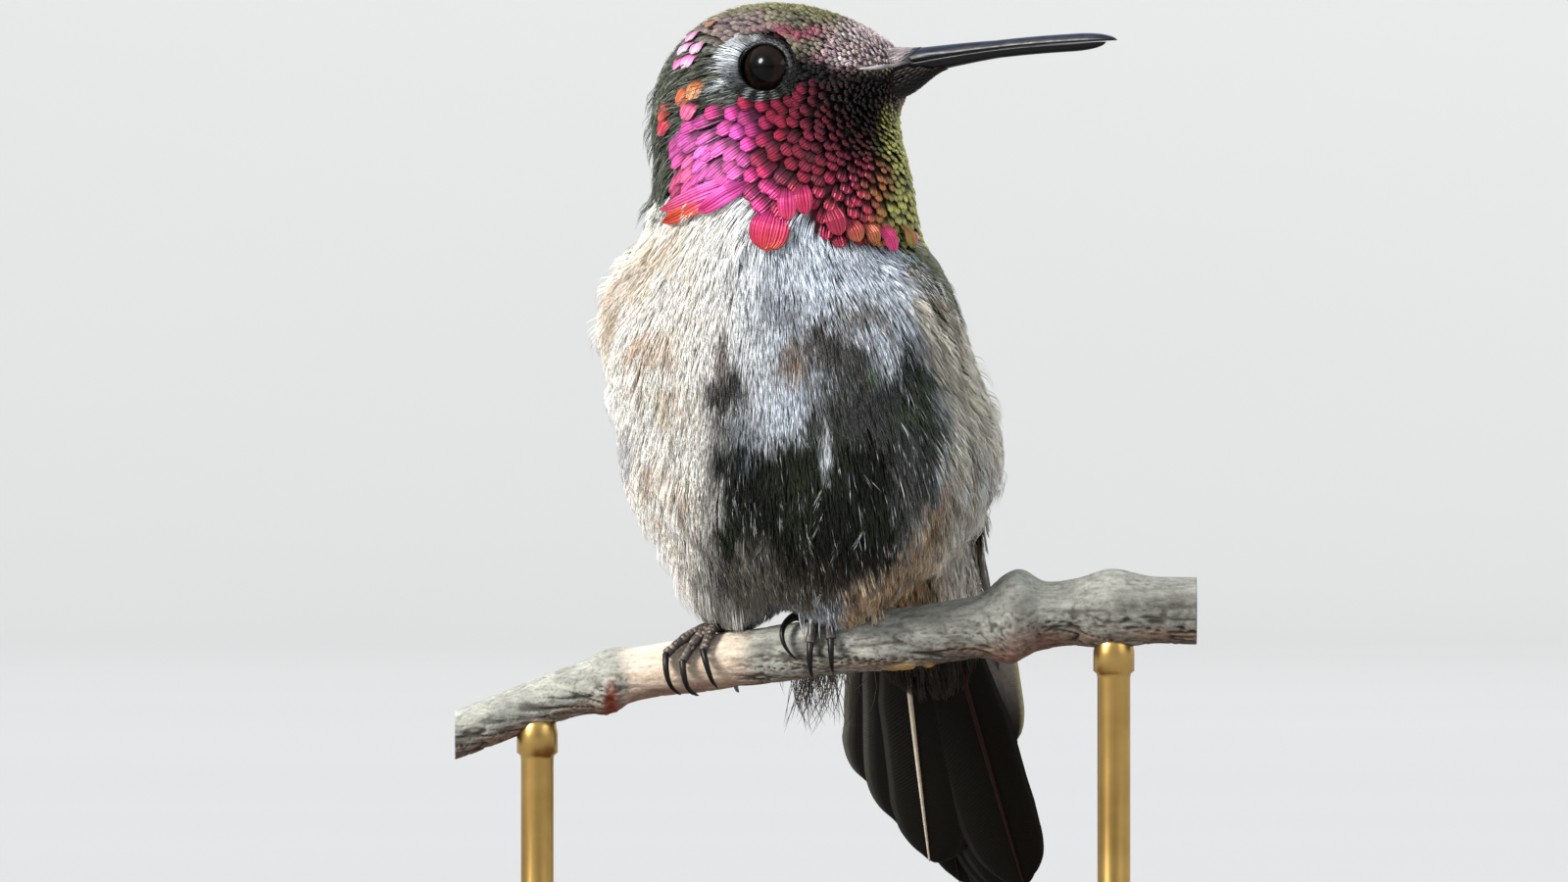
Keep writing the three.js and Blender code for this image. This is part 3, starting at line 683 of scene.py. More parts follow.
def crown_marking(p):
    f, l, u = HEAD.local(p).T
    fine, broad = mottle(p, 0.8, 5), mottle(p, 2.1, 6)
    streak = ramp(0.4, 0.58, mottle(p * [1, 1, 2.2], 0.5, 12))
    crown = ramp(3.2, 5.0, u + 0.25 * f)
    aside = np.abs(l)
    outer = ramp(2, 4, aside)
    return layered(
        mix("3A4038", "6A6C60", fine),
        (mix("4B4A3A", "928B74", fine), crown),
        ("8A7278", crown * ramp(1.6, 2.8, aside) * ramp(0.5, 0.72, broad) * 0.6),
        ("7C7A3C", crown * ramp(3.4, 1.4, aside) * (0.3 + 0.5 * broad)),
        (mix("5C2634", "A04E64", fine), spot(f, u, [7.2, 3.5], [2.2, 1.4]) * ramp(0.35, 0.6, broad)),
        ("98505F", spot(f, u, [4.0, 5.2], [2.6, 0.6]) * ramp(0.35, 0.6, fine)),
        (mix("B8A0A2", "F0DCDC", fine), ramp(5.2, 8.0, f) * ramp(2.2, 2.9, u)),
        ("070606", spot(f, u, [5.9, 2.1], [2.1, 1.0]) * ramp(2.0, 3.2, aside)),
        ("14070B", ramp(2.2, 1.4, u - 0.3 * ramp(7, 9, f)) * ramp(3.2, 5.0, f)),
        ("E2E8EE", spot(f, u, [0.1, 2.6], [0.8, 2.1], 0.4) * outer * (0.15 + 0.85 * streak)),
        ("A9AFB6", spot(f, u, [-0.6, 0.6], [1.6, 0.5], 0.4) * outer * streak * 0.7),
    )


# The breast's lower edge and the dark belly's right edge, across and above the twig. The belly's darkness is
# partly painted shade.
BREAST_X = [-6.5, -5.0, -2.2, -0.2, 1.8, 3.0, 5.1, 8.3, 9.5, 10.2]
BREAST_Z = [12.0, 15.6, 12.9, 13.5, 15.1, 16.7, 18.2, 18.7, 20.8, 23.5]
DARK_Z = [2.0, 3.2, 5.7, 7.9, 10.0, 13.5, 17.0, 20.8, 23]
DARK_X = [4.0, 6.3, 8.6, 10.2, 11.4, 12.0, 11.2, 9.9, 9.0]
# Most of these are the breast's own marks. The thin grey crescents at 6.4 to 9.2 across and the bluish grey
# patch at -0.2 across, 23.2 above, are painted shade between rows of feathers.
SPOTS = [  # across, above, half sizes, colour and strength of the marks on the breast
    (-4.1, 16.9, 1.5, 1.5, "0C0705", 1.0), (-4.1, 17.1, 1.2, 1.2, "0C0705", 1.0),
    (2.5, 20.7, 2.3, 1.6, "3A332C", 1.0), (4.7, 19.2, 2.0, 1.4, "2C2620", 1.0),
    (0.5, 18.8, 1.3, 1.5, "7A5C40", 0.9), (-0.2, 23.2, 1.4, 1.0, "80848C", 0.85),
    (5.9, 22.3, 2.2, 0.8, "6E675F", 0.85), (-2.0, 21.5, 0.9, 0.7, "B5B4B2", 0.5),
    (3.0, 12.8, 0.45, 1.5, "D5DADF", 1.0), (-9.8, 20.2, 1.3, 0.9, "C3A480", 0.6),
    (-11.6, 12.4, 0.8, 1.4, "8B919A", 0.6), (-9.8, 10.9, 0.9, 0.7, "A98762", 0.7),
    (-7.3, 8.4, 0.7, 0.9, "A28465", 0.6), (-8.2, 16.4, 1.2, 0.7, "CDB595", 0.6),
    (-11.4, 25.2, 1.2, 1.4, "B7A388", 0.55), (-9.8, 27.2, 1.3, 1.1, "BFAC92", 0.5),
    (-12.6, 22.6, 0.8, 2.0, "A48E70", 0.6), (10.7, 24.9, 0.35, 0.9, "120F0C", 1.0),
    (-4.4, 19.2, 0.5, 1.6, "5A473A", 0.8), (3.1, 16.8, 1.6, 0.9, "34322D", 0.8),
    (-10.9, 19.8, 0.9, 0.9, "D2B494", 0.6), (8.6, 22.2, 1.1, 0.35, "84888F", 0.55),
    (6.4, 24.0, 1.4, 0.35, "A4A9B2", 0.5), (9.2, 20.6, 0.8, 0.5, "5E6064", 0.7),
    (7.4, 20.2, 1.2, 0.4, "74787E", 0.6), (-2.6, 14.2, 1.5, 1.7, "7D8792", 0.6),
    (1.0, 20.2, 1.4, 0.35, "B8B4B0", 0.5),
]


def behind_flanks(a, h):
    """Below 0 on the back, from a place's distance forwards and its height."""
    return a + 17 - 0.88 * (h - 1.5)


def body_colour_and_shade(p):
    a, _, h = TRUNK.local(p).T
    x = p[:, 0] - STAND_ON[0]
    fine, broad = mottle(p, 1.0, 8), mottle(p, 2.4, 9)
    streaks = mottle(p * [1, 1, 0.3], 0.65, 33)
    wander = 2.0 * (mottle(p, 1.5, 10) - 0.5)
    across, above = x + 0.4 * wander, h + 0.6 * wander
    right = across - np.interp(above, DARK_Z, DARK_X)
    # The flank to the right of the dark belly: its own grey-buff with streaks, kept greyer than the white on
    # the left as painted shade.
    side = layered(
        mix("C4BEAC", "F8F1E2", fine),
        ("B0946F", ramp(13, 8, h) * ramp(3.4, 1.6, right)),
        ("D2D1CB", spot(x, h, [14.4, 7.8], [2.2, 5.0]) * ramp(0.25, 0.5, fine)),
        (mix("D4BA98", "FFFAF0", ramp(10.2, 12.2, x)), ramp(6, 3, h)),
        ("4E4A3C", ramp(0.56, 0.7, streaks) * 0.7),
    )
    # The belly: its own dusky green deepened to near black as painted shade. The green patch is partly its
    # own green and partly painted sheen, and the brown at the bottom is painted shadow where it meets the
    # twig.
    belly = layered(
        mix("060A04", "1A1F15", fine),
        ("34551F", spot(x, h, [8.4, 17.2], [2.6, 2.6]) * ramp(0.3, 0.6, broad) * 0.8),
        ("2A3420", ramp(0.5, 0.8, broad) * 0.6),
        ("4A3E31", ramp(5.5, 2.5, h) * 0.8),
    )
    back = mix(mix("33461F", "66703A", fine), "4F5547", ramp(0.5, 0.8, broad) * 0.6)
    dark = ramp(0.7, -0.7, above - np.interp(across, BREAST_X, BREAST_Z)) * ramp(0.5, -0.5, right)
    dark = dark * ramp(-6.9, -4.0, across - 0.12 * (h - 8) + wander) * ramp(0.2, 2.4, h)
    behind = behind_flanks(a, h)
    spots_and_shade = [
        (tone, spot(x, h, [at_x, at_z], [wide, tall]) * strength * ramp(-4, 0, a))
        for at_x, at_z, wide, tall, tone, strength in SPOTS
    ]
    return layered(
        # The breast's white: painted warm and sunlit on the left, and cool with bluish shade towards the
        # middle.
        mix("FFFAF2", "D8E0EA", ramp(-7, 0.5, x)),
        ("DCC2A0", ramp(-5.5, -8.5, x) * ramp(0.58, 0.76, broad) * 0.35),
        ("C8C7C4", ramp(0.66, 0.82, fine) * 0.2),
        (side, ramp(-0.5, 0.7, right) * ramp(26, 23, h)),
        (belly, dark),
        ("8F8A80", spot(x, h, [-2.4, 3.4], [2.0, 2.6]) * 0.75),
        ("8A8A7E", ramp(4.2, 1.2, h) * ramp(-7, -5, x) * ramp(4, 1, x) * 0.5),
        *spots_and_shade,
        (back, ramp(0.6, -0.9, behind + 0.4 * wander)),
        # Painted shadow under the body: the under-tail feathers below the twig's level are made nearly black.
        (mix("211F1C", "47443D", fine), ramp(1.5, -1.5, h) * ramp(0.0, -4.0, a) * ramp(-1.0, 0.6, behind)),
    )


def colour_and_shade(p):
    """The colour of the plumage at each place, with its painted sunlight, shade and sheen."""
    _, _, u, turn, _ = head_place(p)
    head = mix(crown_marking(p), throat_colour_and_sheen(p), on_throat(p))
    return np.clip(mix(body_colour_and_shade(p), head, ramp(-0.3, 0.3, u - neck_line(turn, -0.2, NAPE_UP))), 0, 1)


# ---- Surface finishes -----------------------------------------------------------------------------

def add_node(tree, kind, inputs=(), out=0, **settings):
    """Adds a node, sets or links its inputs by name or number, and gives one of its outputs."""
    made = tree.nodes.new(kind)
    for key, value in settings.items():
        setattr(made, key, value)
    for key, value in dict(inputs).items():
        if hasattr(value, "is_output"):
            tree.links.new(value, made.inputs[key])
        else:
            made.inputs[key].default_value = value
    return made.outputs[out]


class Finish:
    """A material, and short ways to build what leads into its shader. The settings are the
    shader's own constants."""

    def __init__(self, name, **settings):
        self.material = bpy.data.materials.new(name)
        self.material.use_nodes = True
        self.tree = self.material.node_tree
        self.shader = self.tree.nodes["Principled BSDF"]
        for socket, value in settings.items():
            self.shader.inputs[socket.replace("_", " ")].default_value = value

    def add(self, kind, inputs=(), out=0, **settings):
        return add_node(self.tree, "ShaderNode" + kind, inputs, out, **settings)

    def place(self, **mapping):
        """Places on the object in metres, turned or stretched by a mapping."""
        place = self.add("TexCoord", out="Object")
        return self.add("Mapping", {"Vector": place, **mapping}) if mapping else place

    def noise(self, place, scale, detail, roughness=0.5):
        inputs = {"Vector": place, "Scale": scale, "Detail": detail, "Roughness": roughness}
        return self.add("TexNoise", inputs)

    def cells(self, scale):
        return self.add("TexVoronoi", {"Vector": self.place(), "Scale": scale})

    def math(self, operation, *values):
        return self.add("Math", enumerate(values), operation=operation)

    def spread(self, value, to_low, to_high, low=0.0, high=1.0):
        """Maps a value from low..high to another range."""
        span = {"From Min": low, "From Max": high, "To Min": to_low, "To Max": to_high}
        return self.add("MapRange", {"Value": value, **span})

    def blend(self, share, first, second):
        """From one colour to another."""
        colours = {6: (*paint(first), 1), 7: (*paint(second), 1)}
        return self.add("Mix", {0: share, **colours}, out=2, data_type="RGBA")

    def colour_and_shade(self):
        return self.add("Attribute", attribute_name="Colour")

    def scaled(self, colour, level):
        return self.add("VectorMath", {0: colour, "Scale": level}, operation="SCALE")

    def lead(self, value, socket):
        self.tree.links.new(value, self.shader.inputs[socket])

    def bump(self, height, strength, distance):
        inputs = {"Strength": strength, "Distance": distance, "Height": height}
        self.lead(self.add("Bump", inputs), "Normal")


def plume_finish(name, roughness, metallic=0.0, sheen=0.0, lines=0.0, pitch=0.0, slant=0.0,
                 specular=0.35, uneven=0.13):
    """Feathers take their colour from the colour they carry, painted light and shade included, broken up by a
    little noise. Fine lines run out from each shaft, pitch of them to a turn along it and slant across it;
    their hollows are darkened as painted shade."""
    made = Finish(name, Metallic=metallic, Sheen_Weight=sheen, Specular_IOR_Level=specular)
    noise = made.noise(made.place(), 2600.0, 3.0)
    shaded = made.scaled(made.colour_and_shade(), made.spread(noise, 1 - uneven, 1 + uneven, 0.3, 0.7))
    if lines:
        across = made.add("SeparateXYZ", {0: made.add("UVMap", uv_map="Grain")}, out="X")
        along = across.node.outputs["Y"]
        slope = made.math("MULTIPLY", made.math("ABSOLUTE", across), -slant)
        wave = made.math("SINE", made.math("MULTIPLY_ADD", along, pitch, slope))
        made.bump(wave, lines, 0.00004)
        shaded = made.scaled(shaded, made.spread(wave, 1 - 0.45 * lines, 1.05, -1.0, 1.0))
    made.lead(shaded, "Base Color")
    made.lead(made.spread(noise, roughness - 0.08, roughness + 0.1), "Roughness")
    return made.material


def marked_finish(name, levels, noise=None, cells=None, bump=None, **settings):
    """A surface in the colours it carries, lightened and darkened by noise or by small cells."""
    made = Finish(name, **settings)
    height = made.cells(cells) if cells else None
    texture = made.noise(made.place(), *noise) if noise else height
    made.lead(made.scaled(made.colour_and_shade(), made.spread(texture, *levels)), "Base Color")
    if bump:
        made.bump(height, *bump)
    return made.material


def horn_finish(name):
    """Dark horn with fine streaks that run along the bill."""
    made = Finish(name, Specular_IOR_Level=0.24)
    drawn = made.place(Rotation=(0, 0, 26 * DEG), Scale=(300.0, 3200.0, 3200.0))
    streak = made.noise(drawn, 1.0, 5.0)
    dust = made.noise(made.place(), 900.0, 4.0)
    made.lead(made.scaled(made.colour_and_shade(), made.spread(dust, 0.75, 1.5, 0.35, 0.7)), "Base Color")
    made.lead(made.spread(streak, 0.3, 0.42, 0.3, 0.7), "Roughness")
    made.bump(streak, 0.35, 0.00005)
    return made.material


def bark_finish():
    made = Finish("grey bark", Roughness=0.88, Specular_IOR_Level=0.2)
    fibre = made.noise(made.place(Scale=(500.0, 2600.0, 2600.0)), 1.0, 6.0, 0.65)
    grit = made.noise(made.place(), 3800.0, 4.0, 0.7)
    both = made.math("MULTIPLY_ADD", grit, 0.6, fibre)
    made.lead(made.scaled(made.colour_and_shade(), made.spread(both, 0.62, 1.3, 0.55, 1.05)), "Base Color")
    made.bump(both, 0.8, 0.00018)
    return made.material


def wood_finish():
    """Year rings cut along the trunk, with long pores."""
    made = Finish("walnut")
    tilt = (0, 0, 3 * DEG)
    bend = made.noise(made.place(Rotation=tilt, Scale=(14.0, 60.0, 60.0)), 1.0, 4.0)
    from_pith = made.place(Location=(0, 0.006, 0.03), Rotation=tilt, Scale=(0.0, 1.0, 1.0))
    radius = made.add("VectorMath", {0: from_pith}, out="Value", operation="LENGTH")
    wave = made.math("SINE", made.math("MULTIPLY_ADD", radius, 4200.0, made.math("MULTIPLY", bend, 26.0)))
    pore = made.noise(made.place(Scale=(300.0, 5200.0, 5200.0)), 1.0, 3.0)
    tone = made.blend(made.spread(wave, 0.0, 1.0, -1.0, 1.0), "4A2F1F", "6E4A30")
    made.lead(made.scaled(tone, made.spread(pore, 0.55, 1.08, 0.3, 0.6)), "Base Color")
    made.lead(made.spread(pore, 0.5, 0.3), "Roughness")
    made.bump(pore, 0.25, 0.0001)
    return made.material


def brass_finish():
    made = Finish("brushed brass", Metallic=1.0)
    brush = made.noise(made.place(Scale=(2500.0, 2500.0, 120.0)), 1.0, 3.0)
    tarnish = made.noise(made.place(), 260.0, 4.0)
    made.lead(made.blend(tarnish, "8C6B34", "C9A766"), "Base Color")
    made.lead(made.spread(brush, 0.22, 0.42), "Roughness")
    made.bump(brush, 0.08, 0.00003)
    return made.material


def floor_finish():
    made = Finish("pale floor", Roughness=0.9)
    made.lead(made.spread(made.noise(made.place(), 3.0, 2.0), 0.37, 0.39), "Base Color")
    return made.material


SOFT = plume_finish("soft barbs", 0.82, sheen=0.04, specular=0.18)
PALE = plume_finish("pale barbs", 0.85, sheen=0.3, specular=0.15, uneven=0.05)
SCALY = plume_finish("crown scales", 0.6, metallic=0.1, lines=0.6, pitch=9, slant=26)
GLITTER = plume_finish("throat scales", 0.42, 0.35, lines=0.75, pitch=2, slant=27, specular=0.45)
GREEN = plume_finish("bronze green scales", 0.42, metallic=0.5, lines=0.6, pitch=14, slant=24)
QUILL = plume_finish("flight feather vanes", 0.58, lines=0.2, pitch=520, slant=16, specular=0.15)
SKIN = marked_finish("feathered skin", (0.7, 1.1, 0.0, 0.8), cells=1700.0, bump=(0.5, 0.0001), Roughness=0.8)
HORN, CLAW = horn_finish("bill horn"), horn_finish("claw horn")
EYE = marked_finish(
    "dark eye", (0.6, 1.5, 0.3, 0.7), noise=(2500.0, 3.0), Roughness=0.3, Coat_Weight=0.22,
    Coat_Roughness=0.02, Specular_IOR_Level=0.15, IOR=1.2,
)
LID = marked_finish("eyelid skin", (1.3, 0.6, 0.0, 0.8), cells=5200.0, bump=(0.6, 0.00006), Roughness=0.5)
FOOT = marked_finish(
    "scaly foot", (0.55, 1.7, 0.35, 0.65), noise=(1500.0, 4.0), cells=4200.0, bump=(0.5, 0.00006),
    Roughness=0.52,
)
BARK, WOOD, BRASS = bark_finish(), wood_finish(), brass_finish()


# ---- The skin -------------------------------------------------------------------------------------

SKIN_LOW, SKIN_HIGH, SKIN_CELL = [-20, -24, 25], [16, 24, 80.5], 0.55
SITE_COUNT, SITE_LOW, SITE_HIGH = 110000, -1.6, -0.15  # how many, and how far outside the plumage


def unwrap(piece, name):
    """Spreads a piece on its map, and gives each triangle's corners there."""
    piece.data.uv_layers[name].active = True
    bpy.context.view_layer.objects.active = piece
    piece.select_set(True)
    bpy.ops.object.mode_set(mode="EDIT")
    bpy.ops.mesh.select_all(action="SELECT")
    bpy.ops.uv.smart_project(angle_limit=66 * DEG, island_margin=0.004)
    bpy.ops.object.mode_set(mode="OBJECT")
    piece.select_set(False)
    corners = np.zeros(len(piece.data.loops) * 2)
    piece.data.uv_layers[name].data.foreach_get("uv", corners)
    return corners.reshape(-1, 3, 2)


skin_points, skin_faces = surface(skin_field, SKIN_LOW, SKIN_HIGH, SKIN_CELL)
heap = Heap()
above_skin = skin_points + probe(skin_points)[0] * 0.5
# The skin takes the plumage's colours dimmed as painted shade under the coat: darkest under dark feathers and
# on the throat.
shaded = 0.35 + 0.6 * ramp(0.15, 0.45, body_colour_and_shade(above_skin).mean(1))
shaded = shaded * (1 - 0.6 * on_throat(above_skin))
heap.add(skin_points, skin_faces, colour_and_shade(above_skin) * shaded[:, None])
skin = make("skin", heap, SKIN, ("head", "neck", "trunk"), maps=("OFBake",))
skin_spread = unwrap(skin, "OFBake")

# Places on the skin where a feather may stand, in a random order.
corners = skin_points[skin_faces]
area = np.linalg.norm(np.cross(corners[:, 1] - corners[:, 0], corners[:, 2] - corners[:, 0]), axis=-1)
chosen = rng.choice(len(area), SITE_COUNT, p=area / area.sum())
share, part = np.sqrt(rng.random(SITE_COUNT)), rng.random(SITE_COUNT)
share = np.stack([1 - share, share * (1 - part), share * part], -1)[..., None]
sites = np.sum(corners[chosen] * share, axis=1)
site_over, site_level = probe(sites)
keep = (site_level < SITE_HIGH) & (site_level > SITE_LOW)
sites, site_over = sites[keep], site_over[keep]
site_patch = np.sum(skin_spread[chosen] * share, axis=1)[keep]
site_tree = finder(sites)
F, L, U, TURN, AWAY = head_place(sites)
A, SIDE, H = TRUNK.local(sites).T


def patch_near(places):
    """The patch of the skin's unwrap that is nearest to each place."""
    return site_patch[[site_tree.find(place)[1] for place in places]]


def add_vane(heap, path, over, half, thick, camber, ridge, shade, columns, near=None):
    """Adds a single blade. shade gives its colours as points by 3. Its patch is the one nearest to
    its root, or to another place."""
    over = np.broadcast_to(over, path.shape)[None]
    patch = patch_near(path[:1] if near is None else near)

    def shades(across, along):
        return shade(across, along)[None]

    add_vanes(heap, path[None], over, half[None], thick, camber, ridge, shades, patch, columns)


# ---- Wings: where the folded blades lie, which the body's feathers stay out from under --------------

WING_LOWER = [
    [6.8, 10.9, 26], [1.8, 13.2, 18.8], [-4.3, 13.2, 11.4], [-10.3, 9.7, 4.6],
    [-16, 7.9, -0.6], [-21.2, 6.7, -5.2], [-25.2, 5.9, -8.9],
]
WING_UPPER = [
    [4.4, 9.6, 27.8], [-2.4, 9.8, 24.4], [-9.8, 8.4, 18], [-15.2, 6.4, 10.2],
    [-18.4, 5.8, 3.6], [-22.2, 5.9, -2.4], [-25.4, 5.8, -8.3],
]
WING_SINK = -0.25  # how far under the plumage's surface the wing's front part is bedded


class Blade:
    """The folded wing as a surface: along from the wrist to the tip, across from the lower edge."""

    def __init__(self, side):
        self.side = side
        self.stops = np.linspace(0, 1, 60)
        self.lower, self.upper = (self.edge(points) for points in (WING_LOWER, WING_UPPER))

    def edge(self, points):
        f, l, u = np.array(points).T
        tuck = 0 if self.side > 0 else 0.14 * np.maximum(0, -6 - f)
        return through(TRUNK.at(f, self.side * l + tuck, u), self.stops)

    def line(self, along, edge):
        return columns_at(along, self.stops, edge)

    def at(self, along, across, level):
        """Places on the blade at a level above it, and the outward directions there."""
        low = self.line(along, self.lower)
        width = self.line(along, self.upper) - low
        run = self.line(along + 0.02, self.lower) - self.line(along - 0.02, self.lower)
        out = unit(np.cross(run, width)) * self.side
        arch = 0.06 * np.linalg.norm(width, axis=-1) * np.sin(np.pi * np.clip(across, 0, 1))
        p = low + width * across[..., None] + out * arch[..., None]
        bedded, _ = settled(p.reshape(-1, 3), WING_SINK, 3)
        held = np.clip(1 - (along / 0.62) ** 3, 0, 1)
        return mix(p, bedded.reshape(p.shape), held) + out * level[..., None], out


blades = {"left": Blade(1), "right": Blade(-1)}
along, across = np.meshgrid(np.linspace(0, 1, 50), np.linspace(0, 1, 14), indexing="ij")
wing_tree = finder(np.vstack([
    blade.at(along, across, np.zeros_like(along))[0].reshape(-1, 3) for blade in blades.values()
]))
from_wing = np.array([wing_tree.find(p)[2] for p in sites])


# ---- Feathers in numbers ----------------------------------------------------------------------------

BARB_STOPS = np.array([0, 0.33, 0.7, 1.0])


def pick(mask, spacing):
    """Sites inside a mask, thinned to a spacing, as numbers into sites."""
    inside = np.flatnonzero(mask)
    return inside[thinned(sites[inside], np.broadcast_to(spacing, len(sites))[inside])]


def levels(stops, root, tip, lift=1.0):
    """How far outside the plumage each path runs: from the skin up to its tip."""
    rise = np.clip(stops / 0.75, 0, 1) ** lift
    return tip[:, None] * rise - root[:, None] * (1 - rise)


def jitter(colours, amount, hue=0.04):
    """Each feather a little lighter, darker, warmer or cooler than the next."""
    light = np.exp(rng.normal(0, amount, (len(colours), 1)))
    return np.clip(colours * light * np.exp(rng.normal(0, hue, colours.shape)), 0, 1)


def scales(heap, chosen, length, half, mark, tip, ridge, spread, foot, bare, camber=0.2, bend=0.12,
           rim=0.6, blunt=0.5, keep_if=None):
    """Rounded feathers on the chosen sites. They are dim at the foot, and reach their full colour
    over the stretch that bare gives; their sides and tips are dimmed too. All this is painted shade where
    they overlap."""
    n = len(chosen)
    share = 1 - (1 - np.linspace(0, 1, 6)) ** 1.35
    level = levels(share, coat_depth(sites[chosen]) * 0.9, tip + rng.normal(0, 0.03, n))
    path, over = lie(sites[chosen], length, share, level, rng.normal(0, bend, n))
    keep = clear_of_eyes(path)
    if keep_if:
        keep &= keep_if(path)
    path, over, chosen = path[keep], over[keep], chosen[keep]
    half = half[keep] * (1 + rng.normal(0, 0.08, len(chosen)))
    tones = jitter(mark(path[:, -2]), spread)
    outline = np.minimum(1, 0.35 + 2.2 * share) * rounded(share, blunt, 2.2, 0.02)

    def shade(across, along):
        light = foot + (1 - foot) * ramp(*bare, along)
        light = light * (1 - (1 - rim) * ramp(0.7, 1.0, np.abs(across)))
        light = light * (1 - 0.35 * ramp(0.93, 1.0, along))
        return tones[:, None] * light[None, :, None]

    half = half[:, None] * outline
    add_vanes(heap, path, over, half, 0.05, camber, ridge, shade, site_patch[chosen], 5)


def tufts(heap, chosen, count, length, half, mark, fan, tip, reach, spread, loose=0.0, pale=0.0,
          pale_tone="C6CACC", foot=0.5, bend=0.1, curl=0.12):
    """Small fans of barbs on the chosen sites, each fan on one patch. reach is a fan's half width
    at its foot, loose is the share of fans that stand off, and pale that of paler barbs."""
    fans = len(chosen)
    n = fans * count
    tuft = np.repeat(chosen, count)
    place = np.tile(np.linspace(-1, 1, count), fans) + rng.normal(0, 0.15, n)
    over = site_over[tuft]
    way = heading(sites[tuft], over)
    roots = sites[tuft] + np.cross(over, way) * (place * reach)[:, None]
    roots = roots + way * (rng.random(n) * 0.5 - 0.3 * place**2)[:, None]
    lengths = np.broadcast_to(length, len(sites))[tuft] * (1 - 0.22 * place**2) * rng.uniform(0.75, 1.12, n)
    free = np.repeat((rng.random(fans) < loose) * rng.uniform(0.25, 0.7, fans), count)
    level = levels(BARB_STOPS, coat_depth(roots) * 0.85, tip + free + rng.normal(0, 0.07, n), 0.8)
    roots, _ = settled(roots, level[:, 0])
    lean = np.repeat(rng.normal(0, bend, fans), count) - place * fan * 0.5
    turn = place * fan * 0.6 + rng.normal(0, curl, n)
    path, over = lie(roots, lengths * (1 + 0.3 * free), BARB_STOPS, level, lean, turn)
    keep = clear_of_eyes(path, 2.15)
    path = off_the_twig(path)
    seen_at = mix(path[:, 1], path[:, 3], np.repeat(rng.random(fans), count) * 1.3 - 0.15)
    tones = mark(seen_at) * np.repeat(np.exp(rng.normal(0, spread * 0.6, (fans, 1))), count, axis=0)
    if pale:
        tones = mix(tones, pale_tone, (rng.random(n) < pale) * rng.uniform(0.4, 1, n))
    tones = jitter(tones, spread, 0.015)[keep]

    # Painted shade deep in the coat: each barb is dimmed towards its foot. Its tip is made a touch lighter.
    def shade(across, along):
        light = foot + (1 - foot) * ramp(0.0, 0.55, along) + 0.06 * ramp(0.8, 1, along)
        return tones[:, None] * light[None, :, None]

    half = half * rng.uniform(0.8, 1.25, len(tones))
    add_barbs(heap, path[keep], over[keep], half, shade, site_patch[tuft][keep])


def seen(x, z):
    """Where the plumage is first met from the front, at a place across and above the twig."""
    p = np.stack([x + STAND_ON[0], np.full(len(x), -28.0), z + STAND_ON[2]], -1)
    best, nearest = p.copy(), plumage(p)
    for _ in range(70):
        value = plumage(p)
        closer = value < nearest
        best[closer], nearest[closer] = p[closer], value[closer]
        p[:, 1] += np.maximum(0.7 * value, 0.0)
    return best


def placed(heap, feathers, level, blunt, columns):
    """Feathers that run between two places seen from the front, and their fellows on the other
    side. Each has its root, its tip, its half width and its tones from root to tip, and its edges are dimmed
    as painted shade."""
    share = np.linspace(0, 1, 11) ** 0.9
    outline = np.minimum(1, 0.45 + 1.4 * share) * rounded(share, blunt, 2.4, 0.02)
    for root, tip, half, tones in feathers:
        x, z = (root[i] + (tip[i] - root[i]) * share for i in (0, 1))
        path, over = settled(seen(x, z), -0.35 + (0.35 + level) * ramp(0, 0.6, share), 3)
        stops = np.linspace(0, 1, len(tones))
        tones = np.array([paint(tone) for tone in tones])

        def shade(across, along):
            tone = columns_at(along + 0.12 * across, stops, tones)
            return tone * (1 - 0.4 * ramp(0.85, 1.0, np.abs(across)))[:, None]

        f, l, u = HEAD.local(path).T
        fellow = HEAD.at(f, -l, u), over - 2 * dot(over, head_left)[:, None] * head_left
        for line, out in ((path, over), fellow):
            add_vane(heap, line, out, half * outline, 0.07, 0.14, 0.03, shade, columns, path[3:4])


# ---- The head ---------------------------------------------------------------------------------------

eyes_away = np.where(np.abs(L) > 2.5, np.hypot(F - EYE_FORWARD, U - EYE_UP), 99)
throat = on_throat(sites) > 0.5
head_side = (above_twig(sites) > 27) & ~throat & (U > neck_line(TURN, 1.2, NAPE_UP + 0.2))
streaky = (F < 2.2) & (U + 0.12 * F < 3.6 - 0.2 * np.maximum(0, -3 - F)) & (np.abs(L) > 1.0)
streaky |= (F < -5.5) & (U < 4)
streaky &= head_side
capped = head_side & ~streaky

crown = Heap()
size = np.interp(AWAY, [1.0, 4.0, 9.0, 14.0], [0.28, 0.38, 0.54, 0.76])
chosen = pick(capped & (eyes_away > 2.0), size * 0.66)
scales(crown, chosen, size[chosen] * 2.0, size[chosen] * 0.52, crown_marking, tip=0.05, ridge=0.02,
       spread=0.24, foot=0.4, bare=(0.35, 0.7))
chosen = pick(capped & (eyes_away > 2.5), 0.75)
tufts(crown, chosen, 4, 1.3, 0.03, lambda p: crown_marking(p) * 1.25, fan=0.5, tip=0.1, reach=0.3,
      spread=0.35, curl=0.3)
make("crown_feathers", crown, SCALY, smooth=False, maps=COAT_MAPS)

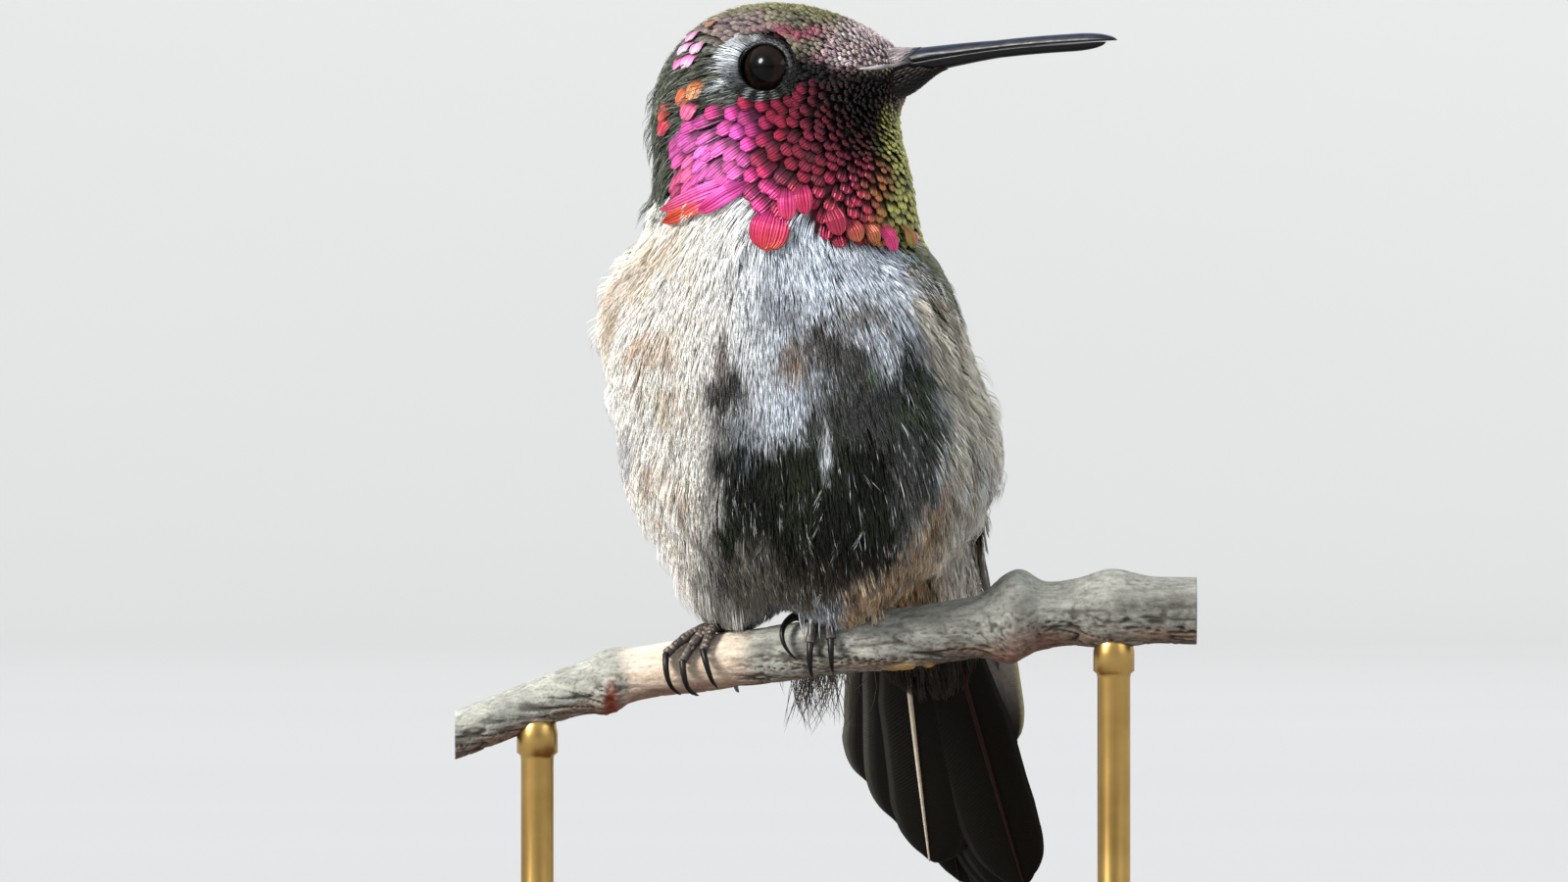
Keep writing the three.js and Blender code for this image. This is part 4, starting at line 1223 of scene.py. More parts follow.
# Patches at the sides of the crown that glow rose, orange and red are painted iridescent glints, with painted
# highlights in their pale tips; their fellows stand on the other side.
bright = Heap()
placed(bright, (
    ((-6.1, 43.7), (-6.9, 42.4), 0.62, ("9A3A5E", "E88ABC", "F4C2DC")),
    ((-6.6, 43.0), (-7.5, 41.4), 0.66, ("B04A78", "F2A6D0", "F8DDEC")),
    ((-5.9, 43.0), (-6.5, 41.5), 0.62, ("A83A6C", "F0A4CE", "F6CFE4")),
    ((-6.4, 42.2), (-7.2, 40.5), 0.68, ("C04A80", "F284C4", "F6C8E2")),
    ((-7.1, 42.0), (-7.8, 40.4), 0.55, ("8A3050", "D8609A", "E890BC")),
    ((-4.9, 44.3), (-5.5, 43.4), 0.42, ("6A5040", "A87058", "B88470")),
    ((-6.0, 40.2), (-6.7, 38.2), 0.74, ("8A3A24", "DC8048", "E0A070")),
    ((-6.6, 39.6), (-7.6, 37.9), 0.7, ("8A3030", "D46A3C", "DC7C58")),
    ((-6.4, 38.6), (-7.2, 36.9), 0.72, ("8A3040", "D8648C", "E2709C")),
    ((-8.2, 38.2), (-8.9, 36.9), 0.6, ("6A1A20", "C84A40", "D8705C")),
    ((-8.3, 37.4), (-8.9, 35.8), 0.66, ("5A141C", "C43A4A", "DC5C78")),
), level=0.3, blunt=0.6, columns=9)
make("cheek_patches", bright, GLITTER, smooth=False, maps=COAT_MAPS)

cheek = Heap()
chosen = pick(streaky & (eyes_away > 2.05), 0.52)
tufts(cheek, chosen, 9, np.interp(AWAY, [5, 14], [1.1, 2.1]), 0.042, crown_marking, fan=0.3, tip=0.05,
      reach=0.28, spread=0.3, loose=0.08, pale=0.14, pale_tone="8E958C")
make("cheek_and_nape", cheek, SOFT, maps=COAT_MAPS)


def round_the_eye(heap, centre, axis, rows=4, around=150):
    """Short barbs round the lids: white behind the eye, in dashes above and below, dark elsewhere."""
    n = rows * around
    ahead = unit(head_forward - axis * (head_forward @ axis))
    turn = np.repeat(turns(around), rows) + rng.normal(0, 0.02, n)
    row = np.tile(np.arange(rows), around)
    spoke = spokes(ahead, UP, turn)
    degrees = np.degrees(turn) % 360
    behind, above, below = bell(degrees, 165, 32), bell(degrees, 108, 10), bell(degrees, 268, 34)
    dashes = ramp(0.1, 0.5, np.sin(turn * 15))
    light = np.clip(behind + 0.45 * above + 0.35 * below * dashes, 0, 1)
    reach = (0.45 + 0.5 * behind) * rng.uniform(0.8, 1.2, n)
    lean = unit(spoke * (0.45 + 0.5 * behind)[:, None] - ahead + 0.1 * UP)
    start = centre + spoke * (2.0 + (0.2 + 0.12 * behind) * row)[:, None] + axis * 1.3
    path = start[:, None] + lean[:, None] * (BARB_STOPS * reach[:, None])[..., None]
    flat, over = settled(path.reshape(-1, 3), np.tile([-0.05, 0.12, 0.18, 0.12], n), 3)
    path, over = flat.reshape(path.shape), over.reshape(path.shape)
    tones = mix("0C0C0D", "E6ECF2", light * rng.uniform(0.55, 1, n))
    add_barbs(heap, path, over, rng.uniform(0.04, 0.06, n), plain(tones), patch_near(path[:, 1]))


ring = Heap()
for centre, axis in EYES:
    round_the_eye(ring, centre, axis)
make("eye_ring_feathers", ring, SOFT, maps=COAT_MAPS)


# ---- The throat: metallic scales that grow from the bill down and back -----------------------------

def inside_throat(path):
    """True for the feathers whose tips stay on the throat. On the left they may hang lower."""
    f, l, u, turn, _ = head_place(path[:, -1])
    return (u > throat_edge(turn) - 0.05 - 0.9 * (l > 0)) & (turn < 129) & (u < throat_top(f) + 0.35)


long_ones = ramp(5.5, 9, AWAY) * ramp(58, 84, TURN) * ramp(0.5, -1.5, U)
throat_half = np.interp(AWAY, [1.5, 4, 8, 12], [0.22, 0.33, 0.50, 0.60]) * (0.72 + 0.28 * ramp(15, 45, TURN))
throat_length = throat_half * 3.5 * (1 - long_ones) + 3.4 * long_ones
throat_half = throat_half + (0.40 - throat_half) * long_ones
throat_gap = throat_half * (1.3 + 0.35 * long_ones)
for name, side in (("left", 1), ("right", -1)):
    gorget = Heap()
    chosen = pick(throat & (L * side >= 0), throat_gap)
    scales(gorget, chosen, throat_length[chosen], throat_half[chosen] * 1.1, throat_colour_and_sheen, tip=0.08,
           ridge=0.025, spread=0.26, foot=0.14, bare=(0.34, 0.66), camber=0.07, bend=0.07, rim=0.5,
           blunt=0.76, keep_if=inside_throat)
    make(f"throat_{name}", gorget, GLITTER, smooth=False, maps=COAT_MAPS)

# The longest feathers along the throat's lower edge, which stand apart over the breast. Their magenta, red,
# gold and olive are the gorget's rose with painted iridescent sheen.
edge = Heap()
placed(edge, (
    ((-0.6, 30.9), (-1.3, 27.35), 1.5, ("4A0C28", "B42468", "C22C58", "BE3048", "B8402C")),
    ((-3.6, 32.2), (-8.4, 29.4), 0.72, ("7A1C4A", "DC4890", "D8583C", "B8402C")),
    ((-3.0, 32.8), (-8.5, 30.3), 0.62, ("8A2060", "E05AB0", "E468A8", "DC5C70")),
    ((-2.4, 32.6), (-5.9, 30.2), 0.7, ("8A2060", "D84CA4", "C8366E")),
    ((0.2, 32.4), (0.3, 29.6), 0.75, ("5A1030", "C83478", "D24460")),
    ((1.2, 32.6), (1.5, 30.0), 0.7, ("5A1030", "C02C60", "C43A5C")),
    ((3.3, 31.0), (3.9, 28.5), 0.8, ("4A0C20", "A8284A", "B83A50")),
    ((4.7, 30.0), (5.2, 28.0), 0.7, ("6A2020", "B8484A", "C87A4C")),
    ((6.0, 29.8), (6.4, 27.8), 0.62, ("6A2A20", "B8604A", "C08A50")),
    ((7.0, 29.8), (7.7, 27.2), 0.72, ("8A1C3C", "D83A78", "E0508C")),
    ((8.4, 29.9), (9.0, 27.4), 0.6, ("5A3A20", "A87A3C", "8C8A44")),
), level=0.52, blunt=0.55, columns=11)
make("throat_edge_feathers", edge, GLITTER, smooth=False, maps=COAT_MAPS)


# ---- The body ---------------------------------------------------------------------------------------

body = (U < neck_line(TURN, 1.3, NAPE_UP + 1)) & (~throat | (U < throat_edge(TURN) + 0.8))
body &= (from_wing > 0.85) | ((H > 12) & (A > -4))
back = body & (behind_flanks(A, H) < -1.2)
front = body & ~back
breast = front & (H > 15.5) & (SIDE > -4.5) & (SIDE < 10)
belly = front & (H <= 15.5) & (SIDE > -4) & (SIDE < 9.5) & (A > 0)
flanks = front & ~breast & ~belly & (A > -6)
flank_left, flank_right = flanks & (SIDE >= 9.5), flanks & (SIDE <= -4)
under_tail = front & ~breast & ~belly & ~flank_left & ~flank_right

soft_length = np.interp(H, [0, 6, 14, 26], [2.0, 2.5, 2.9, 2.7]) + 1.5 * ramp(-2.5, -5, SIDE) * ramp(9, 4, H)
soft_length = soft_length * (1 - 0.35 * ramp(2, 0, neck_line(TURN, 0, NAPE_UP) - U))
over_wrist = (0.4 + 0.2 * (SIDE < 0)) * ramp(2.2, 0.8, from_wing) * ramp(10, 13, H)
BARBS = 13
for name, inside, spacing, pale, foot, loose, finish in (
    ("breast", breast, 0.46, 0.0, 0.93, 0.02, PALE),
    ("belly", belly, 0.52, 0.03, 0.5, 0.02, SOFT),
    ("flank_left", flank_left, 0.52, 0.08, 0.93, 0.05, PALE),
    ("under_tail", under_tail, 0.8, 0.0, 0.5, 0.02, SOFT),
    ("flank_right_upper", flank_right & (H > 14), 0.52, 0.0, 0.93, 0.05, PALE),
    ("flank_right_lower", flank_right & (H <= 14), 0.52, 0.0, 0.93, 0.05, PALE),
):
    coat = Heap()
    chosen = pick(inside, spacing)
    tufts(coat, chosen, BARBS, soft_length, 0.043, body_colour_and_shade, fan=0.3,
          tip=0.02 + np.repeat(over_wrist[chosen], BARBS), reach=0.42, spread=0.09, loose=loose, pale=pale,
          foot=foot, bend=0.07, curl=0.07)
    if name == "belly":  # a few pale barbs that stray over the dark ones
        chosen = pick(inside & (mottle(sites, 2.6, 31) > 0.52), 1.9)
        tufts(coat, chosen, 7, 2.7, 0.017, lambda p: np.tile(paint("A0A6A2"), (len(p), 1)), fan=0.9,
              tip=0.14, reach=0.3, spread=0.4, bend=0.4, curl=0.1)
    make(f"{name}_barbs", coat, finish, maps=COAT_MAPS)

green = Heap()
green_half = np.interp(H, [0, 10, 22, 30], [1.1, 1.25, 1.1, 0.8])
chosen = pick(back, green_half * 1.15)
scales(green, chosen, green_half[chosen] * 2.9, green_half[chosen], lambda p: body_colour_and_shade(p + UP * 1.6),
       tip=0.06, ridge=0.03, spread=0.2, foot=0.3, bare=(0.3, 0.7))
make("back_feathers", green, GREEN, maps=COAT_MAPS)


# ---- Bill: two mandibles on one line that bows upwards ----------------------------------------------

BILL_ROOT, BILL_LENGTH, BILL_PITCH, BILL_ARCH = 3.5, 16.6, 6.2 * DEG, 0.45
bill_base = HEAD.at(11.6, 0, 2.62)
bill_way = head_forward * math.cos(BILL_PITCH) + UP * math.sin(BILL_PITCH)
bill_up = np.cross(bill_way, head_left)


def bill_half(t):
    return 1.08 * (1.3 - 0.68 * np.clip(t * 1.9, 0, 1) ** 0.7)


def bill_centre(t):
    along = t * (BILL_LENGTH + BILL_ROOT) - BILL_ROOT
    return bill_base + along[:, None] * bill_way + (BILL_ARCH * np.sin(np.pi * t))[:, None] * bill_up


def mandible(side, reach, deep, wide, power, swelling):
    """Half of the bill: an arched back, and a hollowed face towards its fellow. The upper one
    swells over the nostrils."""
    tip = 0.9 + 0.1 * np.sin(np.linspace(0.12, 1, 10) * np.pi / 2)
    t = reach * np.concatenate([np.linspace(0, 0.9, 44), tip])
    close = rounded(t / reach, 0.86, 2, 0.015)
    depth = ((bill_half(t) * deep - 0.03) * close)[:, None]
    width = (bill_half(t) * wide * close)[:, None]
    turn, face = np.linspace(0, np.pi, 19), np.linspace(-1, 1, 7)
    x = np.concatenate([np.cos(turn), 0.8 * face])
    y = np.concatenate([np.sin(turn) ** power, 0 * face])
    hollow = np.concatenate([0 * turn, 0.22 * (1 - face**2)])
    if side < 0:
        x, y, hollow = x[::-1], -y[::-1], -hollow[::-1]
    groove = -0.07 * bell(np.abs(x), 0.86, 0.1) * (y * side > 0.2)
    nostril = swelling * bell(t, 0.27, 0.055)[:, None] * bell(y, 0.5, 0.2)
    lift = depth * y + width * hollow * 0.5 + 0.03 * side
    aside = width * x * (1 + groove + nostril)
    rings = bill_centre(t)[:, None] + head_left * aside[..., None] + bill_up * lift[..., None]
    heap = Heap()
    # Black horn, with a painted blue sheen along the top of the upper mandible.
    add_rings(heap, rings, mix("060608", "1C2438", np.tile(ramp(0.3, 1.0, y), (len(t), 1))))
    return heap


make("bill_upper_horn", mandible(1, 1.0, 1.0, 0.92, 0.86, 0.1), HORN, ("bill_upper",))
make("bill_lower_horn", mandible(-1, 0.955, 0.94, 0.8556, 1.0, 0.0), HORN, ("bill_lower",))

# The pale rims over the nostrils, where the forehead's feathers end along the bill.
heap = Heap()
f = np.linspace(8.5, 12.3, 30)
feathered = f < 11.2
for side in (1, -1):
    line = HEAD.at(f, side * np.maximum(1.0, 2.8 - 0.5 * (f - 8.5)), 2.28 + 0.65 * ramp(8.5, 12.3, f))
    line[feathered] = settled(line[feathered], -0.02, 4)[0]
    away = dot(line - HEAD.origin, head_left) * side
    line += head_left * (side * np.maximum(0, 1.22 - 0.03 * (f - 9) - away))[:, None]
    for _ in range(6):
        line[1:-1] = (line[:-2] + line[1:-1] + line[2:]) / 3
    thick = 0.17 * np.sin(np.clip((f - 8.4) / 4.0, 0, 1) * np.pi) ** 0.5
    tone = layered(mix("6A6668", "A8A4A4", ramp(10.6, 9.4, f)), ("242228", ramp(10.8, 12.2, f)))
    add_rings(heap, tube_rings(line, UP, thick * 0.75, thick, 10), tone)
make("nostril_rims", heap, HORN)

# Small feathers that run out over the bill's root: grey above, nearly black below.
ROUND_THE_ROOT = 26
heap = Heap()
share = np.linspace(0, 1, 6)
outline = np.minimum(1, 0.5 + 2 * share) * rounded(share, 0, 3, 0.03)
for row, start in enumerate(np.arange(-1.8, 2.3, 0.26)):
    for k in range(ROUND_THE_ROOT):
        angle = (k + 0.5 * (row % 2) + 0.25 * rng.random()) / ROUND_THE_ROOT * 2 * np.pi
        top = math.sin(angle)
        limit = -0.5 + 0.7 * ramp(0.25, 1.0, top) + 2.6 * ramp(-0.2, -1.0, top)
        if start > limit:
            continue
        t = (BILL_ROOT + start + share * 0.95) / (BILL_LENGTH + BILL_ROOT)
        fall = ramp(limit + 0.4, limit - 3.4, start + share * 0.5)
        out = bill_half(t) + 0.04 + (0.4 + 0.75 * ramp(-0.1, -0.8, top)) * fall
        over = head_left * math.cos(angle) + bill_up * top
        path = bill_centre(t) + over * (out * (0.92 + 0.08 * abs(top)))[:, None]
        light = rng.random()
        if top > 0.1:
            tone = layered(mix("5A5256", "B0A2A6", light), ("1C1B20", ramp(limit - 0.9, limit, start)))
        else:
            tone = paint("140709") * (0.6 + light)

        # Dim at the foot and the sides: painted shade where the little feathers overlap.
        def shade(across, along):
            level = (0.35 + 0.65 * ramp(0.1, 0.6, along)) * (1 - 0.4 * ramp(0.6, 1, np.abs(across)))
            return tone * level[:, None]

        add_vane(heap, path, over, 0.2 * outline, 0.03, 0.2, 0.01, shade, 5)
make("bill_root_feathers", heap, SCALY, smooth=False, maps=COAT_MAPS)


# ---- Eyes and lids ----------------------------------------------------------------------------------

LID_SIDES = 96
lid_reach, lid_out = np.array([  # the lid's rim cut through: from the eye's axis, and out along it
    [1.82, 1.31], [1.83, 1.45], [1.88, 1.56], [1.96, 1.61], [2.06, 1.58],
    [2.16, 1.46], [2.2, 1.26], [2.1, 1.05], [1.92, 1.1],
]).T
for name, (centre, axis) in zip(("left", "right"), EYES):
    ahead = np.cross(UP, axis)
    heap = Heap()
    polar = np.linspace(0.03, np.pi - 0.03, 40)
    radius = EYE_RADIUS * (1 + 0.035 * bell(polar, 0, 32 * DEG))
    middle = centre + axis * (radius * np.cos(polar))[:, None]
    rings = middle[:, None] + (radius * np.sin(polar))[:, None, None] * spokes(ahead, UP, turns(48))
    iris = mix("020202", "150C08", ramp(26 * DEG, 30 * DEG, polar))
    add_rings(heap, rings[:, ::-1], mix(iris, "050303", ramp(40 * DEG, 50 * DEG, polar)))
    make(f"eyeball_{name}", heap, EYE, (f"eye_{name}",))

    heap = Heap()
    turn = turns(LID_SIDES)
    forward = dot(ahead, head_forward)
    wide = 1 + 0.035 * np.cos(2 * turn) + 0.05 * np.cos(turn) ** 8
    crease = 1 + 0.03 * np.sin(turn * 31) + 0.02 * np.sin(turn * 47 + 1)
    reach = lid_reach * np.where(lid_reach < 1.9, wide[:, None], 1)
    reach = reach * np.where(lid_reach > 1.95, crease[:, None], 1)
    rings = centre + spokes(ahead, UP * 0.965, turn)[:, None] * reach[..., None] + axis * lid_out[:, None]
    faces = np.vstack(halves(*band(LID_SIDES, len(lid_out), joined=True)))
    bare = np.clip(ramp(0.2, 0.9, np.cos(turn) * forward) + ramp(0.2, 0.9, -np.sin(turn)) * 0.6, 0, 1)
    tone = mix("0D0C0D", "5A585E", bare * 0.4 * np.sin(turn * 9) ** 2)
    heap.add(rings.reshape(-1, 3), faces, np.repeat(tone, len(lid_out), axis=0))
    make(f"eyelids_{name}", heap, LID)


# ---- Flight feathers --------------------------------------------------------------------------------

def flight_feather(heap, path, over, half, tones, shaft_width, seed, shift, thick=0.12, columns=11,
                   both_sides=False):
    """One long feather: a vane whose edge is a little uneven, and its raised shaft, on one side or
    both. The tones are those of the vane, its fringe and its shaft."""
    tone, fringe, shaft = tones
    along = np.linspace(0, 1, len(path))
    wear = np.random.default_rng(seed).normal(0, 1, 14)
    half = half * (1 + 0.012 * np.interp(along, np.linspace(0, 1, 14), wear))
    middle = path + directions(path, over)[1] * (half * shift)[:, None]

    def shade(across, along):
        rim = ramp(0.72, 1.0, np.abs(across)) + ramp(0.965, 1.0, along)
        dim = 1 - 0.25 * bell(across, -shift, 0.02**0.5)
        return mix(tone, fringe, np.clip(rim, 0, 1)) * dim[:, None]

    add_vane(heap, middle, over, half, thick, 0.10, 0.0, shade, columns)
    width = shaft_width * (1 - 0.75 * along)
    for out, lift in ((over, 0.015), (-over, thick * 0.8))[: 1 + both_sides]:
        add_rings(heap, tube_rings(path + out * lift, out, width, width * 0.8, 6), shaft)


PRIMARIES, FLIGHT_FEATHERS, STEPS = 10, 16, 30
COVERT_STOPS = np.linspace(0, 1, 7)
shares = 1 - (1 - np.linspace(0, 1, STEPS)) ** 1.35
tip = rounded(shares, 0.86, 2, 0.02)
for name, blade in blades.items():
    heap = Heap()
    for i in range(FLIGHT_FEATHERS):
        rank = i if i < PRIMARIES else i - PRIMARIES
        if i < PRIMARIES:
            last, full, share = 1.0 - 0.043 * rank, 1.35 + 0.05 * rank, rank / 13
        else:
            last, full, share = 0.56 - 0.03 * rank, 1.5, 0.62 + 0.07 * rank
        t = 0.06 + (last - 0.06) * shares
        none, whole = np.zeros(STEPS), np.ones(STEPS)
        wide = np.linalg.norm(blade.at(t, whole, none)[0] - blade.at(t, none, none)[0], axis=-1)
        half = np.minimum(full, wide * 0.5) * np.minimum(1, 0.45 + 2.5 * shares)
        across = (half + share * np.maximum(0, wide - 2 * half)) / np.maximum(wide, 0.3)
        path, over = blade.at(t, across, (0.05 * i - 0.42) * (1 - 0.4 * t))
        tones = paint("332C2B") * (1 + 0.12 * math.sin(i * 2.3)), paint("77695B"), paint("1B1716")
        flight_feather(heap, path, over, half * tip, tones, 0.17, 100 + i, -0.25 * blade.side)
    make(f"flight_feathers_{name}", heap, QUILL, (f"wing_{name}",))

    heap = Heap()
    outline = np.minimum(1, 0.4 + 2 * COVERT_STOPS) * rounded(COVERT_STOPS, 0.6, 2.2, 0.03)
    for row in range(8):
        end, count, half = 0.36 - 0.052 * row, 9 + row, 1.3 - 0.08 * row
        length, level = 5.2 - 0.42 * row, 0.18 + 0.03 * row
        for j in range(count):
            share = (j + 0.5 + 0.3 * math.sin(j * 7.3 + row)) / count
            t = end - 0.02 + length / 42 * COVERT_STOPS * 1.25 + 0.012 * math.sin(j * 5.1)
            across = share * 0.96 + 0.02 + 0.02 * COVERT_STOPS
            rise = level + 0.24 * COVERT_STOPS + 0.012 * (j % 3)
            path, over = blade.at(np.clip(t, -0.03, 1), across, rise)
            tone = mix("3E4A26", "5E5A42", rng.random()) * (0.85 + 0.3 * rng.random())
            tone = mix(tone, "857B6A", ramp(0.45, 0.05, share))

            # Dim at the foot and the sides: painted shade where the coverts overlap. The tips have a pale
            # fringe.
            def shade(across, along):
                light = (0.45 + 0.55 * ramp(0.2, 0.7, along)) * (1 - 0.25 * ramp(0.7, 1, np.abs(across)))
                return mix(tone, "857B66", 0.7 * ramp(0.93, 1, along)) * light[:, None]

            add_vane(heap, path, over, half * outline, 0.06, 0.2, 0.015, shade, 5)
    make(f"wing_coverts_{name}", heap, GREEN, maps=COAT_MAPS)

# Four soft-edged feathers of the left wing that hang loose beside the tail.
heap = Heap()
t = np.linspace(0, 1, 22)
for i, fringe in enumerate(("4E4843", "5E5850", "77715E", "9C9672")):
    x = 12.9 + 0.85 * i + 1.5 * t
    z = 2.0 - 0.3 * i - (8.6 + 0.35 * i) * t
    path = np.stack([x, 11.0 - 0.69 * z + 0.25 * i, z], -1) + STAND_ON

    def shade(across, along):
        tone = mix("7E7771", "1D1917", ramp(0.35, 0.95, along))
        return mix(tone, fringe, ramp(0.55, 0.95, across))

    over = unit(np.array([0.25, -1.0, -0.45]))
    add_vane(heap, path, over, 1.15 * rounded(t, 0.72, 2, 0.02), 0.08, 0.12, 0.02, shade, 11)
make("loose_wing_feathers", heap, QUILL)


# ---- Tail: five feathers each side, the middle pair on top -----------------------------------------

TAIL_PITCH, TAIL_SWING, TAIL_LENGTH = 54 * DEG, 4.3 * DEG, 31.0
tail_way = swung(TRUNK.rows[0], UP, TAIL_SWING) * -math.cos(TAIL_PITCH) - UP * math.sin(TAIL_PITCH)
tail_left = swung(TRUNK.rows[1], UP, TAIL_SWING)
tail_up = np.cross(tail_left, tail_way)
tail_root = TRUNK.at(-11.6, 3.4, 5.0)
DARK_RIM, DARK_SHAFT = "171713", "1A1616"
RECTRICES = {  # side: share of the tail's length, degrees of fan, place in the stack, fringe, shaft
    1: (
        (0.98, 0, 0.5, DARK_RIM, DARK_SHAFT), (0.985, 0.4, 1.5, DARK_RIM, DARK_SHAFT),
        (0.985, 0.8, 2.5, DARK_RIM, DARK_SHAFT), (0.965, 1.3, 3.5, DARK_RIM, DARK_SHAFT),
        (0.93, 2.1, 4.5, DARK_RIM, "2E1A18"),
    ),
    -1: (
        (0.98, 1.2, 0, "151511", DARK_SHAFT), (0.95, 3.6, 1, "1A1A15", DARK_SHAFT),
        (0.87, 6.4, 4, "24221D", "D8CDBB"), (0.78, 10.6, 3, "3A3832", DARK_SHAFT),
        (0.69, 15, 2, "504C44", DARK_SHAFT),
    ),
}
heap = Heap()
t = 1 - (1 - np.linspace(0, 1, 40)) ** 1.4
half = 3.25 * np.minimum(1, 0.4 + 1.3 * t) * rounded(t, 0.8, 2, 0.01)
for side, feathers in RECTRICES.items():
    for rank, (reach, fan, stack, fringe, shaft) in enumerate(feathers):
        way = swung(tail_way, tail_up, -side * fan * DEG)
        root = tail_root + tail_left * side * (rank + 0.5) * 0.42 - tail_up * stack * 0.3
        path = root + way * (t * TAIL_LENGTH * reach)[:, None] - tail_up * (0.25 * np.sin(np.pi * t))[:, None]
        over = np.broadcast_to(-tail_up, path.shape)
        tones = paint("0B0C09") * (1 + 0.3 * math.sin(rank * 1.7 + side)), paint(fringe), paint(shaft)
        seed = 300 + rank * 2 + side
        flight_feather(heap, path, over, half, tones, 0.26, seed, -0.2 * side, 0.14, 13, True)
make("tail_feathers", heap, QUILL, ("tail",))


# ---- The twig ---------------------------------------------------------------------------------------

TWIG_SIDES = 96


def ridged(p, size, seed):
    return 1 - np.abs(2 * mottle(p, size, seed) - 1)


def cut_end(rim, centre, way):
    """Rings from the middle of a sawn end out to its rim, and the growth rings' tones."""
    face, tone = [], []
    for share in (0.04, 0.2, 0.36, 0.52, 0.68, 0.82, 0.93):
        face.append(centre + (rim - centre) * share + [way * 0.05 * (1 - share), 0, 0])
        grown = mix("C9AE85", "8E6E48", 0.5 + 0.5 * np.sin(share * 40))
        grown = mix(grown, "5D4735", ramp(0.85, 0.95, share))
        tone.append(np.broadcast_to(grown, (TWIG_SIDES, 3)))
    return np.array(face), np.array(tone)


def twig():
    x = np.linspace(-24, 30, 420)
    xx, tt = np.meshgrid(x, turns(TWIG_SIDES), indexing="ij")
    out = np.stack([0 * xx, np.cos(tt), np.sin(tt)], -1)
    flat = perch_centre(xx) + out * perch_radius(xx)[..., None]
    drawn = flat * [0.07, 1, 1]  # stretched along the grain
    height = np.sin(tt)
    top, under = ramp(0.2, 0.9, height), ramp(-0.3, -0.9, height)
    low = 0.35 + 0.65 * ramp(0.45, -0.35, height)
    tan = ramp(-12.5, -10.5, xx) * ramp(-1.5, -4.5, xx)  # where the bark is smooth and pale brown
    rough = 1 - 0.75 * tan

    cracks = ridged(drawn + 0.22 * mottle(flat, 1.5, 20)[..., None], 0.42, 21)
    fine = ridged(flat * [0.2, 1, 1], 0.26, 22)
    lumps = mottle(flat, 1.6, 23)
    scar = spot(xx, tt, [-12.6, 4.2], [0.55, 0.9], 0.5)
    peel = spot(xx, tt, [9.6, 4.75], [2.6, 0.55], 0.35) * ramp(0.35, 0.6, mottle(flat, 0.8, 25))
    push = -(0.18 * ramp(0.86, 1.0, cracks) + 0.07 * ramp(0.7, 1, fine)) * rough * low
    push += 0.14 * (lumps - 0.5) + 0.22 * peel
    for height_of, at, size, soft in (
        (0.55, [16.6, 1.6], [1.5, 0.8], 0.7), (0.22, [24.0, 1.4], [1.6, 0.9], 0.7),
        (-0.25, [17.9, 4.6], [0.9, 0.5], 0.8), (0.18, [-12.6, 4.2], [0.9, 1.2], 0.5),
        (-0.3, [-12.6, 4.2], [0.3, 0.5], 0.6),
    ):
        push += height_of * spot(xx, tt, at, size, soft)

    bark = mix("70716B", "A6A69C", ramp(0.25, 0.75, lumps) * 0.6 + 0.4 * mottle(flat, 0.5, 24))
    bark = mix(bark, "BABAB1", top * 0.45) * (1 - 0.3 * ramp(7, 12, xx))[..., None]
    bark = layered(
        bark,
        ("8B6248", under * 0.55 * ramp(0.3, 0.6, mottle(drawn, 0.9, 26))),
        (mix("CDB196", "EEE2D2", mottle(drawn, 0.8, 27)), tan * 0.85),
        ("7A4A32", tan * under * 0.6),
        # Painted shade in the cracks and fine cracks, deepest on the underside.
        ("2E2823", ramp(0.85, 0.95, cracks) * rough * 0.85 * low),
        ("463E36", ramp(0.8, 0.98, fine) * rough * 0.7 * low),
        ("8E3F2C", scar * 0.8),
        ("7D5A4C", spot(xx, tt, [17.5, 4.4], [2.4, 0.9], 0.5) * 0.6),
        (mix("A8823E", "D2B466", fine), peel * 0.9),
    )
    rings = flat + out * push[..., None]
    first, first_tone = cut_end(rings[0], perch_centre(x[0]), 1)
    last, last_tone = cut_end(rings[-1], perch_centre(x[-1]), -1)
    heap = Heap()
    rings = np.concatenate([first, rings, last[::-1]])
    add_rings(heap, rings, np.concatenate([first_tone, bark, last_tone[::-1]]))
    return heap


make("twig_bark", twig(), BARK, ("perch",))


# ---- Legs: toes round the twig, with rows of plates along each, and claws ---------------------------

TOE_RADIUS, CLAW_RADIUS, TOE_CLEARANCE, TOP_OF_TWIG = 0.52, 0.3, 0.36, 96
TOE_STEPS, CLAW_STEPS, SHANK_STEPS = 60, 44, 60
FEET = {  # place along the twig, ankle, toe's half width, the plates' pale tone, and for each digit:
    # swing along the twig, angles of the toe's and the claw's end, the claw tip's swing and bow
    "right": (-4.7, [0.9, 2.0, 4.2], 0.4, "8A7E74", {
        "outer": (-3.9, 26, -54, -2.8, 0.4), "middle": (-2.7, 10, -64, -1.5, 0.3),
        "inner": (-1.2, 22, -50, -0.1, 0.1), "hind": (0.9, 184, 250, 1.4, 0.0),
    }),
    "left": (2.8, [0.2, 1.8, 4.0], 0.46, "3F3936", {
        "inner": (-1.9, 70, -16, -1.8, 1.1), "middle": (-0.9, 10, -58, -0.6, 0.15),
        "outer": (0.6, 12, -52, 0.8, 0.05), "hind": (0.2, 184, 244, 0.6, 0.0),
    }),
}


def round_twig(at, swings, angles, distance, count, bow=0.0):
    """A path round the twig between two angles, in degrees, and the way out from the twig."""
    t = np.linspace(0, 1, count)
    turn = (angles[0] + (angles[1] - angles[0]) * t) * DEG
    x = at + swings[0] + (swings[1] - swings[0]) * t - bow * np.sin(np.pi * t)
    out = np.stack([0 * t, -np.cos(turn), np.sin(turn)], -1)
    return perch_centre(x) + out * (perch_radius(x) + distance(t))[:, None], out


